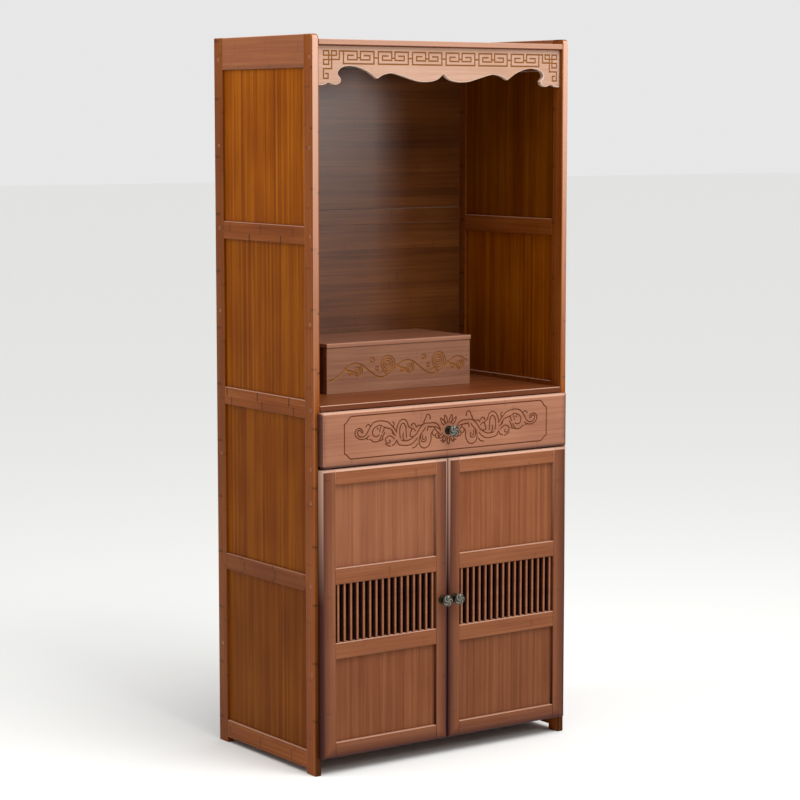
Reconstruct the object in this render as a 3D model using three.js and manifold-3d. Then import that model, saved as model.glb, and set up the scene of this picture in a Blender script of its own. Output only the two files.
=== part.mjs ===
// Household altar cabinet: an open niche with a carved valance and a stepped riser,
// above one carved drawer and a cupboard with two slatted doors.
// Units are millimetres, +Z is up and the front faces -Y.
// Inside the cabinet group y = 0 is the plane of the side boards' front edges.

import * as THREE from 'three';
import { mergeVertices } from 'three/addons/utils/BufferGeometryUtils.js';
import Module from 'manifold-3d';

const wasm = await Module();
wasm.setup();

// ---------------------------------------------------------------- driving dimensions

const WIDTH = 650;
const HEIGHT = 1500;
const DEPTH = 375;
const FIT = 0.3;                       // gap kept between pieces that meet

const SIDE_T = 15;                     // thickness of the framed sides
const STILE_W = 33;                    // front-to-back width of a side stile
const STILE_ROUND = 9;                 // rounded top front corner of a front stile
const PANEL_T = 5;                     // every framed panel
const TOP_Z = [1478, 1490];            // top board, a little below the stile tops
const TOP_RAIL_LOW = 1434.5;
const SIDE_RAILS = [                   // bottom and top of each side rail
  [12, 49],
  [379, 413],
  [734, 770],
  [1083.5, 1119.5],
  [TOP_RAIL_LOW, HEIGHT],
];

const DECK_Z = [748, 760];             // altar deck under the niche
const DIVIDER_Z = [621, 633];          // shelf that the drawer runs on
const FLOOR_Z = [40, 52];              // floor of the cupboard
const BACK_Y = [360, 372];             // back frame
const BACK_RAILS = [[12, 49], [734, 794], [1103, 1136], [1445, 1478]];

const VALANCE_Y = 9.5;                 // the valance stands back from the front edges
const VALANCE_T = 11;
const VALANCE_SHIFT = 4;                // its pattern stands a little right of the middle
const FRET_TOP = 1467;                 // top line of the key fret
const FRET_ROWS = [0, 8.5, 17, 25];    // depths below the top line
const FRET_WIDTH = 74;                 // one key unit
const FRET_PITCH = 84.8;
const FRET_UNITS = 6;
const FRET_LINE = 2.4;
const CORNER_FRET_X = 297;             // outer edge of the corner fret

const RISER_W = 374;
const RISER_Y = [160, 359.4];
const RISER_TOP_Z = [857, 867];
const RISER_BOARD_T = 12;
const RISER_HOUSING = 1;               // the riser is let into the deck by this much
const VINE_PERIOD = 133;               // running vine carved on the riser
const VINE_CREST_X = 20;
const VINE_MIDDLE_Z = 805;
const VINE_HEIGHT = 16;

const FACE_T = 13;                     // drawer front and doors
const FACE_GAP = 1;                    // between the fronts and the carcass
const FACE_HALF = 317;                 // half of the width that the fronts cover
const FACE_ROUND = 5;                  // their rounded outer edges
const DRAWER_FACE_Z = [634, 747];
const DRAWER_SIDE_X = 307;
const DRAWER_BOARD_T = 12;
const DRAWER_BACK_Y = 330;
const DRAWER_Z = [634.5, 725];
const DRAWER_BOTTOM_Z = [640, 645];
const BORDER_HALF = [261, 43.5];       // engraved frame on the drawer front
const BORDER_CORNER = [18, 14];

const DOOR_Z = [36, 631];
const DOOR_GAP = 2;                    // between the two doors
const DOOR_HUNG_W = 33.5;               // stile on the hinge side
const DOOR_CLOSING_W = 29;              // stile where the doors meet
const DOOR_RAIL_H = 32;
const GRILLE_LOW_RAIL = [241, 274];
const GRILLE_HIGH_RAIL = [395, 428];
const SLATS = 16;
const SLAT_W = 5.6;
const SLAT_T = 8;
const SLAT_TENON = 3;
const PANEL_SET_BACK = 7;              // from a door's face to its panels

const KNOB_R = 12;
const KNOB_REACH = 25;
const KNOB_SIDES = 20;

const CARVE_DEPTH = 1.2;
const CARVE_LINE = 1.8;

// ---------------------------------------------------------------- worked-out places

const insideX = WIDTH / 2 - SIDE_T;
const faceBack = -FACE_GAP;
const faceFront = -FACE_GAP - FACE_T;
const frontReach = -faceFront + FIT + KNOB_REACH;
const doorWidth = FACE_HALF - DOOR_GAP / 2;
const drawerMiddle = (DRAWER_FACE_Z[0] + DRAWER_FACE_Z[1]) / 2;
const fretSpan = FRET_PITCH * (FRET_UNITS - 1) + FRET_WIDTH;

// ---------------------------------------------------------------- finishes

const bambooSide = () => finish(0x9c5f34, 0.5, 0);
const bambooPanel = () => finish(0x96592b, 0.5, 0);
const bambooDark = () => finish(0x7d4c33, 0.55, 0);
const bambooFace = () => finish(0xab6f4f, 0.5, 0);
const bambooPale = () => finish(0xd0a88c, 0.55, 0);
const bambooBox = () => finish(0xb98a5c, 0.6, 0);
const agedBronze = () => finish(0x6f6a5c, 0.4, 0.9);

function finish(color, roughness, metalness) {
  return new THREE.MeshStandardMaterial({ color, roughness, metalness });
}

// ---------------------------------------------------------------- shape helpers

function named(name, geometry, material) {
  const mesh = new THREE.Mesh(geometry, material);
  mesh.name = name;
  return mesh;
}

// A plain board that fills the given x, y and z spans.
function board(name, material, x, y, z) {
  const geometry = new THREE.BoxGeometry(x[1] - x[0], y[1] - y[0], z[1] - z[0]);
  const mesh = named(name, geometry, material);
  mesh.position.set((x[0] + x[1]) / 2, (y[0] + y[1]) / 2, (z[0] + z[1]) / 2);
  return mesh;
}

// A span made shorter by the fit at both ends.
function eased(span) {
  return [span[0] + FIT, span[1] - FIT];
}

// A closed outline through corner points; a corner [x, y, r] with r is rounded.
function roundedShape(corners, arcSteps) {
  const points = [];
  corners.forEach((corner, i) => {
    const here = new THREE.Vector2(corner[0], corner[1]);
    if (!corner[2]) {
      points.push(here);
      return;
    }
    const before = corners[(i + corners.length - 1) % corners.length];
    const after = corners[(i + 1) % corners.length];
    const toBefore = new THREE.Vector2(before[0], before[1]).sub(here).normalize();
    const toAfter = new THREE.Vector2(after[0], after[1]).sub(here).normalize();
    const start = here.clone().addScaledVector(toBefore, corner[2]);
    const end = here.clone().addScaledVector(toAfter, corner[2]);
    const centre = start.clone().addScaledVector(toAfter, corner[2]);
    for (let k = 0; k <= arcSteps; k += 1) {
      const a = (k / arcSteps) * Math.PI / 2;
      const p = centre.clone();
      p.addScaledVector(start.clone().sub(centre), Math.cos(a));
      p.addScaledVector(end.clone().sub(centre), Math.sin(a));
      points.push(p);
    }
  });
  return new THREE.Shape(points);
}

// Extrudes a (y, z) outline along x, from x0 for the given length.
function alongX(shape, x0, length) {
  const geometry = new THREE.ExtrudeGeometry(shape, { depth: length, bevelEnabled: false });
  const axes = new THREE.Matrix4().set(0, 0, 1, x0, 1, 0, 0, 0, 0, 1, 0, 0, 0, 0, 0, 1);
  geometry.applyMatrix4(axes);
  return geometry;
}

// Extrudes an (x, y) outline upwards, from z0 for the given length.
function alongZ(shape, z0, length) {
  const geometry = new THREE.ExtrudeGeometry(shape, { depth: length, bevelEnabled: false });
  geometry.translate(0, 0, z0);
  return geometry;
}

// Extrudes an (x, z) outline towards the front, from yBack for the given thickness.
function towardsFront(shape, yBack, thickness) {
  const geometry = new THREE.ExtrudeGeometry(shape, { depth: thickness, bevelEnabled: false });
  geometry.rotateX(Math.PI / 2);
  geometry.translate(0, yBack, 0);
  return geometry;
}

function toSolid(geometry) {
  const bare = geometry.clone();
  bare.deleteAttribute('normal');
  bare.deleteAttribute('uv');
  const merged = mergeVertices(bare.index ? bare.toNonIndexed() : bare, 1e-4);
  return new wasm.Manifold(new wasm.Mesh({
    numProp: 3,
    vertProperties: new Float32Array(merged.attributes.position.array),
    triVerts: new Uint32Array(merged.index.array),
  }));
}

function fromSolid(solid) {
  const mesh = solid.getMesh();
  const geometry = new THREE.BufferGeometry();
  geometry.setAttribute('position', new THREE.BufferAttribute(mesh.vertProperties, 3));
  geometry.setIndex(new THREE.BufferAttribute(mesh.triVerts, 1));
  geometry.computeVertexNormals();
  return geometry;
}

function joined(geometries) {
  const solids = geometries.map(toSolid);
  return solids.reduce((sum, next) => sum.add(next));
}

// The outline of a line of the given width that follows a polyline.
function strokeShape(points, width) {
  const left = [];
  const right = [];
  points.forEach((p, i) => {
    const back = points[Math.max(i - 1, 0)];
    const ahead = points[Math.min(i + 1, points.length - 1)];
    const inward = new THREE.Vector2().subVectors(p, back);
    const outward = new THREE.Vector2().subVectors(ahead, p);
    const first = inward.lengthSq() > 0 ? inward.normalize() : outward.clone().normalize();
    const second = outward.lengthSq() > 0 ? outward.normalize() : first;
    const mean = first.clone().add(second).normalize();
    const reach = width / 2 / Math.max(mean.dot(second), 0.5);
    const side = new THREE.Vector2(-mean.y, mean.x).multiplyScalar(reach);
    left.push(p.clone().add(side));
    right.push(p.clone().sub(side));
  });
  return new THREE.Shape(left.concat(right.reverse()));
}

// Cuts lines, given as polylines in (x, z), into the front of a solid.
function engrave(solid, lines, width, front, depth) {
  const above = 2;
  const cutters = lines.map((line) => {
    const shape = strokeShape(line, width);
    return towardsFront(shape, front + depth, depth + above);
  });
  return solid.subtract(joined(cutters));
}

function polyline(pairs) {
  return pairs.map(([x, z]) => new THREE.Vector2(x, z));
}

function smooth(pairs, steps) {
  return new THREE.SplineCurve(polyline(pairs)).getPoints(steps);
}

// A scroll: the radius and the angle both run evenly from start to end.
function scroll(centre, radii, degrees, steps) {
  const points = [];
  for (let k = 0; k <= steps; k += 1) {
    const t = k / steps;
    const r = radii[0] + (radii[1] - radii[0]) * t;
    const a = THREE.MathUtils.degToRad(degrees[0] + (degrees[1] - degrees[0]) * t);
    points.push(new THREE.Vector2(centre[0] + r * Math.cos(a), centre[1] + r * Math.sin(a)));
  }
  return points;
}

function mirrored(line) {
  return line.map((p) => new THREE.Vector2(-p.x, p.y));
}

function shifted(line, x, z) {
  return line.map((p) => new THREE.Vector2(p.x + x, p.y + z));
}

// ---------------------------------------------------------------- framed sides

function sideFrame(label, sign) {
  const group = new THREE.Group();
  const x = sign > 0 ? [insideX, WIDTH / 2] : [-WIDTH / 2, -insideX];
  const roundTop = roundedShape([
    [0, 0],
    [STILE_W, 0],
    [STILE_W, HEIGHT],
    [0, HEIGHT, STILE_ROUND],
  ], 6);
  group.add(named(`side_${label}_stile_front`, alongX(roundTop, x[0], SIDE_T), bambooSide()));
  const backY = [DEPTH - STILE_W, DEPTH];
  group.add(board(`side_${label}_stile_back`, bambooSide(), x, backY, [0, HEIGHT]));

  const between = eased([STILE_W, DEPTH - STILE_W]);
  const panelX = [(x[0] + x[1] - PANEL_T) / 2, (x[0] + x[1] + PANEL_T) / 2];
  SIDE_RAILS.forEach((z, i) => {
    group.add(board(`side_${label}_rail_${i + 1}`, bambooSide(), x, between, z));
    if (i > 0) {
      const opening = eased([SIDE_RAILS[i - 1][1], z[0]]);
      group.add(board(`side_${label}_panel_${i}`, bambooPanel(), panelX, between, opening));
    }
  });
  return group;
}

// ---------------------------------------------------------------- back, shelves, top

function backFrame() {
  const group = new THREE.Group();
  const x = eased([-insideX, insideX]);
  const names = ['bottom', 'sill', 'middle', 'top'];
  const panelNames = ['lower', 'middle', 'upper'];
  const panelY = [(BACK_Y[0] + BACK_Y[1] - PANEL_T) / 2, (BACK_Y[0] + BACK_Y[1] + PANEL_T) / 2];
  BACK_RAILS.forEach((z, i) => {
    const top = i === BACK_RAILS.length - 1 ? z[1] - FIT : z[1];
    group.add(board(`back_rail_${names[i]}`, bambooDark(), x, BACK_Y, [z[0], top]));
    if (i > 0) {
      const opening = eased([BACK_RAILS[i - 1][1], z[0]]);
      group.add(board(`back_panel_${panelNames[i - 1]}`, bambooDark(), x, panelY, opening));
    }
  });
  return group;
}

// The deck's front lip is set off by a fine groove on the top face, and a shallow housing
// behind it takes the riser.
function deckGeometry() {
  const lip = 9;
  const groove = 1.6;
  const above = 1;
  const housing = block(
    [-RISER_W / 2 - FIT, RISER_W / 2 + FIT],
    [RISER_Y[0] - FIT, BACK_Y[0]],
    [DECK_Z[1] - RISER_HOUSING, DECK_Z[1] + above],
  );
  const outline = roundedShape([
    [0, DECK_Z[0]],
    [BACK_Y[0] - FIT, DECK_Z[0]],
    [BACK_Y[0] - FIT, DECK_Z[1]],
    [lip + groove, DECK_Z[1]],
    [lip + groove / 2, DECK_Z[1] - groove],
    [lip, DECK_Z[1]],
    [0, DECK_Z[1], 2],
  ], 3);
  const blank = alongX(outline, -insideX + FIT, 2 * (insideX - FIT));
  return fromSolid(toSolid(blank).subtract(toSolid(housing)));
}

function shelves() {
  const group = new THREE.Group();
  const x = eased([-insideX, insideX]);
  const y = [0, BACK_Y[0] - FIT];
  group.add(board('top_board', bambooFace(), x, [0, DEPTH], TOP_Z));
  group.add(named('altar_deck', deckGeometry(), bambooFace()));
  group.add(board('drawer_shelf', bambooDark(), x, y, DIVIDER_Z));
  group.add(board('cupboard_floor', bambooDark(), x, y, FLOOR_Z));
  return group;
}

// ---------------------------------------------------------------- valance

// Right half of the scalloped lower edge, from the middle notch outwards.
function valanceHalfEdge() {
  const wave = [
    [0, 1425.3], [6, 1419.5], [14, 1413.6], [26, 1409.6], [46, 1407.5], [66, 1409.2],
    [88, 1414.8], [111, 1421], [126, 1424], [137, 1424], [154, 1419.6], [165.7, 1413],
  ];
  const arch = [
    [165.7, 1413], [177, 1420.4], [190, 1427.8], [208, 1434.4], [225, 1437.8],
    [240, 1437.6], [253, 1433.8], [261, 1427], [261.5, 1419.5], [254.5, 1412.5],
  ];
  const lobe = [[254.5, 1412.5], [256, 1405.5], [262, 1401.5], [270, 1400.5], [285, 1405.5]];
  const tail = [[285, 1405.5], [291, 1401.6], [299, 1399.6], [insideX - FIT, 1399.5]];
  const pieces = [smooth(wave, 16), smooth(arch, 14), smooth(lobe, 8), smooth(tail, 4)];
  return pieces.flatMap((piece, i) => (i === 0 ? piece : piece.slice(1)));
}

// One key unit: a single line that coils in at both ends, with a short bar between coils.
function keyUnit(left) {
  const [top, upper, lower, bottom] = FRET_ROWS.map((row) => FRET_TOP - row);
  const bar = (upper + lower) / 2;
  const inner = 33;
  const coil = 10;
  const tip = 23.5;
  const w = FRET_WIDTH;
  const line = polyline([
    [tip, upper], [coil, upper], [coil, lower], [inner, lower], [inner, top], [0, top],
    [0, bottom], [w, bottom],
    [w, top], [w - inner, top], [w - inner, lower], [w - coil, lower], [w - coil, upper],
    [w - tip, upper],
  ]);
  const link = polyline([[inner, bar], [w - inner, bar]]);
  return [shifted(line, left, 0), shifted(link, left, 0)];
}

// The corner fret runs from the first key to the end and turns down, always at right angles.
function cornerFret(left) {
  const line = polyline([
    [CORNER_FRET_X - fretSpan / 2, 0], [38, 0], [38, 17], [19.5, 17], [19.5, 0], [31, 0],
    [31, 9], [0, 9], [0, 0], [12.5, 0], [12.5, 27], [0, 27], [0, 17.5], [19.5, 17.5],
    [19.5, 35.5], [0, 35.5], [0, 54.5], [11, 54.5], [11, 45], [5, 45],
  ]);
  return line.map((p) => new THREE.Vector2(left + p.x, FRET_TOP - p.y));
}

function fretLines() {
  const lines = [];
  const bar = FRET_TOP - (FRET_ROWS[1] + FRET_ROWS[2]) / 2;
  for (let i = 0; i < FRET_UNITS; i += 1) {
    const left = -fretSpan / 2 + i * FRET_PITCH;
    lines.push(...keyUnit(left));
    if (i > 0) {
      lines.push(polyline([[left - (FRET_PITCH - FRET_WIDTH), bar], [left, bar]]));
    }
  }
  const corner = cornerFret(-CORNER_FRET_X);
  lines.push(corner, mirrored(corner));
  return lines;
}

function valance() {
  const right = valanceHalfEdge();
  const left = mirrored(right).reverse();
  const top = TOP_Z[0] - FIT;
  const end = insideX - FIT;
  const placed = left.slice(0, -1).concat(right).map((p) => new THREE.Vector2(p.x + VALANCE_SHIFT, p.y));
  const between = placed.filter((p) => Math.abs(p.x) < end - 1);
  const ends = [[-end, between[0].y], [end, between[between.length - 1].y]];
  const edge = [...polyline(ends.slice(0, 1)), ...between, ...polyline(ends.slice(1))];
  const shape = new THREE.Shape(edge.concat(polyline([[end, top], [-end, top]])));
  const blank = toSolid(towardsFront(shape, VALANCE_Y + VALANCE_T, VALANCE_T));
  const segments = fretLines().map((line) => shifted(line, VALANCE_SHIFT, 0)).flatMap(lineSegments);
  const cut = engrave(blank, segments, FRET_LINE, VALANCE_Y, CARVE_DEPTH);
  return named('valance', fromSolid(cut), bambooPale());
}

// Square-cornered lines are cut one straight piece at a time, each run on by half its width.
function lineSegments(line) {
  const pieces = [];
  for (let i = 1; i < line.length; i += 1) {
    const run = new THREE.Vector2().subVectors(line[i], line[i - 1]).setLength(FRET_LINE / 2);
    pieces.push([line[i - 1].clone().sub(run), line[i].clone().add(run)]);
  }
  return pieces;
}

// ---------------------------------------------------------------- riser

// A running vine: a wave whose troughs send a scroll up and whose crests curl one under.
function vineLines() {
  const half = RISER_W / 2 - 8;
  const wave = (x) => VINE_HEIGHT * Math.cos(2 * Math.PI * (x - VINE_CREST_X) / VINE_PERIOD);
  const stem = [];
  const steps = 40;
  for (let k = 0; k <= steps; k += 1) {
    const x = -half + (2 * half * k) / steps;
    stem.push(new THREE.Vector2(x, VINE_MIDDLE_Z + wave(x)));
  }
  const lines = [stem];
  for (let period = -2; period <= 1; period += 1) {
    const crest = VINE_CREST_X + period * VINE_PERIOD;
    const trough = crest + VINE_PERIOD / 2;
    const under = scroll([crest + 4, VINE_MIDDLE_Z - 4], [13, 3], [150, -330], 13);
    const over = scroll([trough + 12, VINE_MIDDLE_Z + 6], [13, 3], [-150, 330], 13);
    lines.push(...[under, over].filter((line) => line.every((p) => Math.abs(p.x) < half)));
  }
  return lines;
}

function riser() {
  const group = new THREE.Group();
  const half = RISER_W / 2;
  const [front, back] = RISER_Y;
  const z = [DECK_Z[1] - RISER_HOUSING + FIT, RISER_TOP_Z[0] - FIT];

  const blank = block([-half, half], [front, front + RISER_BOARD_T], z);
  const carved = engrave(toSolid(blank), vineLines(), CARVE_LINE, front, CARVE_DEPTH);
  group.add(named('riser_front', fromSolid(carved), bambooPale()));

  const endY = [front + RISER_BOARD_T + FIT, back - 9];
  group.add(board('riser_end_left', bambooDark(), [-half, -half + RISER_BOARD_T], endY, z));
  group.add(board('riser_end_right', bambooDark(), [half - RISER_BOARD_T, half], endY, z));

  const nose = roundedShape([
    [front - 2, RISER_TOP_Z[0] + 3],
    [front, RISER_TOP_Z[0] + 3],
    [front, RISER_TOP_Z[0]],
    [back, RISER_TOP_Z[0]],
    [back, RISER_TOP_Z[1]],
    [front - 2, RISER_TOP_Z[1], 2.5],
  ], 3);
  group.add(named('riser_top', alongX(nose, -half - 1, RISER_W + 2), bambooFace()));
  return group;
}

// ---------------------------------------------------------------- knobs

function knob(name, x, z) {
  const profile = [
    [0, 0], [9, 0], [9, 2], [6.2, 4], [5, 8], [5.2, 12], [8.5, 15.5], [KNOB_R, 19],
    [KNOB_R, 21], [10, 23.6], [6, 24.7], [0, KNOB_REACH],
  ].map(([r, reach]) => new THREE.Vector2(r, reach));
  const geometry = new THREE.LatheGeometry(profile, KNOB_SIDES);
  const mesh = named(name, geometry, agedBronze());
  mesh.rotation.x = Math.PI;
  mesh.position.set(x, faceFront - FIT, z);
  return mesh;
}

// ---------------------------------------------------------------- drawer

// A face board: square at the back, its four front edges rounded in steps.
function faceBoard(halfW, z, steps) {
  const rings = [[0, faceBack]];
  for (let k = 0; k <= steps; k += 1) {
    const a = (k / steps) * Math.PI / 2;
    const inset = FACE_ROUND * (1 - Math.cos(a));
    rings.push([inset, faceFront + FACE_ROUND * (1 - Math.sin(a))]);
  }
  const positions = [];
  rings.forEach(([inset, y]) => {
    positions.push(-halfW + inset, y, z[0] + inset, halfW - inset, y, z[0] + inset);
    positions.push(halfW - inset, y, z[1] - inset, -halfW + inset, y, z[1] - inset);
  });
  const index = [0, 2, 1, 0, 3, 2];
  for (let ring = 0; ring < rings.length - 1; ring += 1) {
    for (let k = 0; k < 4; k += 1) {
      const a = ring * 4 + k;
      const b = ring * 4 + ((k + 1) % 4);
      index.push(a, b, b + 4, a, b + 4, a + 4);
    }
  }
  const last = (rings.length - 1) * 4;
  index.push(last, last + 1, last + 2, last, last + 2, last + 3);
  const geometry = new THREE.BufferGeometry();
  geometry.setAttribute('position', new THREE.Float32BufferAttribute(positions, 3));
  geometry.setIndex(index);
  return geometry;
}

// The engraved frame: a rectangle whose corners are cut across.
function borderLine() {
  const [w, h] = BORDER_HALF;
  const [cx, cz] = BORDER_CORNER;
  const middle = drawerMiddle + 1;
  const corners = [
    [w, h - cz], [w - cx, h], [-w + cx, h], [-w, h - cz],
    [-w, -h + cz], [-w + cx, -h], [w - cx, -h], [w, -h + cz],
  ].map(([x, z]) => new THREE.Vector2(x, z + middle));
  return corners.map((corner, i) => [corner, corners[(i + 1) % corners.length]]);
}

// Right half of the scrollwork, as (x, z) from the drawer's middle.
function scrollwork() {
  const half = [
    smooth([[24, 12], [40, 20], [57, 19], [70, 11], [82, 0], [92, -5]], 10),
    scroll([61, -12], [19, 4], [115, -420], 20),
    scroll([57, 29], [6, 2], [-80, 250], 8),
    smooth([[94, -6], [103, 6], [106, 24], [114, 32], [125, 25], [133, 6]], 10),
    smooth([[119, -14], [109, -4], [109, 14], [116, 21], [123, 12], [125, -2], [119, -14]], 12),
    smooth([[79, -12], [94, -22], [110, -25], [126, -21], [133, -9], [133, 6]], 10),
    smooth([[133, 6], [144, 18], [158, 28], [176, 31], [190, 27], [202, 14], [211, 3]], 12),
    scroll([224, 9], [13.5, 4], [-155, 200], 12),
    scroll([153, -9], [10, 3], [150, -200], 9),
    scroll([184, 8], [12, 3], [150, -330], 13),
    smooth([[164, 2], [176, -8], [189, -11], [203, -4]], 5),
    smooth([[15, 20], [22, 27], [28, 21]], 5),
    smooth([[3, 24], [8, 33], [14, 24]], 5),
    smooth([[17, -17], [26, -26], [33, -18], [27, -9]], 6),
    smooth([[3, -24], [9, -33], [15, -23]], 5),
  ];
  return half.flatMap((line) => {
    const placed = shifted(line, 0, drawerMiddle);
    return [placed, mirrored(placed)];
  });
}

function drawer() {
  const group = new THREE.Group();
  const blank = toSolid(faceBoard(FACE_HALF, DRAWER_FACE_Z, 4));
  const lines = scrollwork().concat(borderLine());
  const carved = engrave(blank, lines, CARVE_LINE, faceFront, CARVE_DEPTH);
  group.add(named('drawer_front', fromSolid(carved), bambooFace()));

  const outer = DRAWER_SIDE_X;
  const inner = outer - DRAWER_BOARD_T;
  const y = [faceBack + FIT, DRAWER_BACK_Y];
  group.add(board('drawer_side_left', bambooBox(), [-outer, -inner], y, DRAWER_Z));
  group.add(board('drawer_side_right', bambooBox(), [inner, outer], y, DRAWER_Z));
  const between = eased([-inner, inner]);
  const backY = [DRAWER_BACK_Y - DRAWER_BOARD_T, DRAWER_BACK_Y];
  group.add(board('drawer_back', bambooBox(), between, backY, DRAWER_Z));
  const bottomY = [y[0], backY[0] - FIT];
  group.add(board('drawer_bottom', bambooBox(), between, bottomY, DRAWER_BOTTOM_Z));
  group.add(knob('drawer_knob', 0, drawerMiddle));
  return group;
}

// ---------------------------------------------------------------- doors

// A door hangs on one side; u runs from its hung edge (0) to its closing edge.
function door(label, sign) {
  const group = new THREE.Group();
  const toX = (u) => sign * (FACE_HALF - u);
  const spanX = (u0, u1) => [Math.min(toX(u0), toX(u1)), Math.max(toX(u0), toX(u1))];
  const faceY = [faceFront, faceBack];
  const openU = [DOOR_HUNG_W + FIT, doorWidth - DOOR_CLOSING_W - FIT];
  const openX = spanX(...openU);

  const hungStile = roundedShape(ordered([
    [toX(0), faceBack],
    [toX(0), faceFront, FACE_ROUND],
    [toX(DOOR_HUNG_W), faceFront],
    [toX(DOOR_HUNG_W), faceBack],
  ]), 4);
  const doorHeight = DOOR_Z[1] - DOOR_Z[0];
  const stileName = `door_${label}_stile`;
  group.add(named(`${stileName}_hung`, alongZ(hungStile, DOOR_Z[0], doorHeight), bambooFace()));
  const closing = roundedShape(ordered([
    [toX(doorWidth - DOOR_CLOSING_W), faceBack],
    [toX(doorWidth - DOOR_CLOSING_W), faceFront],
    [toX(doorWidth), faceFront, FACE_ROUND],
    [toX(doorWidth), faceBack],
  ]), 4);
  group.add(named(`${stileName}_closing`, alongZ(closing, DOOR_Z[0], doorHeight), bambooFace()));

  const topRail = roundedShape([
    [faceFront, DOOR_Z[1] - DOOR_RAIL_H],
    [faceBack, DOOR_Z[1] - DOOR_RAIL_H],
    [faceBack, DOOR_Z[1]],
    [faceFront, DOOR_Z[1], FACE_ROUND],
  ], 4);
  const bottomRail = roundedShape([
    [faceFront, DOOR_Z[0], FACE_ROUND],
    [faceBack, DOOR_Z[0]],
    [faceBack, DOOR_Z[0] + DOOR_RAIL_H],
    [faceFront, DOOR_Z[0] + DOOR_RAIL_H],
  ], 4);
  const openWidth = openX[1] - openX[0];
  const railName = `door_${label}_rail`;
  group.add(named(`${railName}_top`, alongX(topRail, openX[0], openWidth), bambooFace()));
  group.add(named(`${railName}_bottom`, alongX(bottomRail, openX[0], openWidth), bambooFace()));

  const panelY = [faceFront + PANEL_SET_BACK, faceFront + PANEL_SET_BACK + PANEL_T];
  const upper = eased([GRILLE_HIGH_RAIL[1], DOOR_Z[1] - DOOR_RAIL_H]);
  const lower = eased([DOOR_Z[0] + DOOR_RAIL_H, GRILLE_LOW_RAIL[0]]);
  group.add(board(`door_${label}_panel_upper`, bambooPanel(), openX, panelY, upper));
  group.add(board(`door_${label}_panel_lower`, bambooPanel(), openX, panelY, lower));
  group.add(grille(`door_${label}_grille`, openX, faceY));

  const knobU = doorWidth - DOOR_CLOSING_W / 2;
  const knobZ = (GRILLE_LOW_RAIL[1] + GRILLE_HIGH_RAIL[0]) / 2;
  group.add(knob(`door_${label}_knob`, toX(knobU), knobZ));
  return group;
}

// Corner lists run anticlockwise whichever side the door hangs on.
function ordered(corners) {
  const area = corners.reduce((sum, [x, y], i) => {
    const [nextX, nextY] = corners[(i + 1) % corners.length];
    return sum + x * nextY - nextX * y;
  }, 0);
  return area > 0 ? corners : corners.slice().reverse();
}

// Two cross rails with the upright slats let into them.
function grille(name, x, y) {
  const bars = [GRILLE_LOW_RAIL, GRILLE_HIGH_RAIL].map((z) => block(x, y, z));
  const pitch = (x[1] - x[0]) / SLATS;
  const middleY = (y[0] + y[1]) / 2;
  const slatY = [middleY - SLAT_T / 2, middleY + SLAT_T / 2];
  const slatZ = [GRILLE_LOW_RAIL[1] - SLAT_TENON, GRILLE_HIGH_RAIL[0] + SLAT_TENON];
  for (let i = 0; i < SLATS; i += 1) {
    const middle = x[0] + (i + 0.5) * pitch;
    bars.push(block([middle - SLAT_W / 2, middle + SLAT_W / 2], slatY, slatZ));
  }
  return named(name, fromSolid(joined(bars)), bambooFace());
}

function block(x, y, z) {
  const geometry = new THREE.BoxGeometry(x[1] - x[0], y[1] - y[0], z[1] - z[0]);
  geometry.translate((x[0] + x[1]) / 2, (y[0] + y[1]) / 2, (z[0] + z[1]) / 2);
  return geometry;
}

// ---------------------------------------------------------------- the whole cabinet

const cabinet = new THREE.Group();
cabinet.add(sideFrame('left', -1));
cabinet.add(sideFrame('right', 1));
cabinet.add(backFrame());
cabinet.add(shelves());
cabinet.add(valance());
cabinet.add(riser());
cabinet.add(drawer());
cabinet.add(door('left', -1));
cabinet.add(door('right', 1));

// The origin is on the ground, under the middle of the whole cabinet with its knobs.
cabinet.position.y = -(DEPTH - frontReach) / 2;

const model = new THREE.Group();
model.add(cabinet);

export default model;
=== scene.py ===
"""A household altar cabinet of carbonised bamboo, dressed board by board around its frame.

Lengths are millimetres in the frame's own axes: +X to the right, -Y towards the front, +Z up.
Every board is a numpy surface with eased edges; the drawer, the riser and the valance carry
their carving as a height field.
"""

import logging
import math
from dataclasses import dataclass, field
from enum import Enum
from functools import cache
from typing import ClassVar

import bpy
import numpy as np
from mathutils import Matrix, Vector


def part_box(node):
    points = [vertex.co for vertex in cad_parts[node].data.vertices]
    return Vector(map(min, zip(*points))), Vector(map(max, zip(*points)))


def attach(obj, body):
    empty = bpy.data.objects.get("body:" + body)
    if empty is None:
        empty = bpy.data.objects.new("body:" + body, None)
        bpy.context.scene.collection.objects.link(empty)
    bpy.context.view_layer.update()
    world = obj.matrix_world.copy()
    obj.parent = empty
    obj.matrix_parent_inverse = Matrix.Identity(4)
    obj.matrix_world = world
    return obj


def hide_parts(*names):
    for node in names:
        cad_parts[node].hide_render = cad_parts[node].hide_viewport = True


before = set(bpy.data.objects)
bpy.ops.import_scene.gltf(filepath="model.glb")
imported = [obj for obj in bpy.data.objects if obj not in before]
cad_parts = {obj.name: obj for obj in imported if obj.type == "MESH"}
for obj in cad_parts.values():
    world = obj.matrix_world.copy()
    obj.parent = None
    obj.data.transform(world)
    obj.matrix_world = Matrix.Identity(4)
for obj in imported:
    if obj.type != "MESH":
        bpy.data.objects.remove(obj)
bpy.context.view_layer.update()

LOG = logging.getLogger("altar_cabinet")
Array = np.ndarray
MM = 0.001


# ---------------------------------------------------------------- named options


class Facing(Enum):
    """Where a board's face looks: its two in-plane axes, its depth axis and the sense of depth."""

    FRONT = (0, 2, 1, 1)
    LEFT = (2, 1, 0, 1)
    RIGHT = (1, 2, 0, -1)
    UP = (0, 1, 2, -1)


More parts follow.
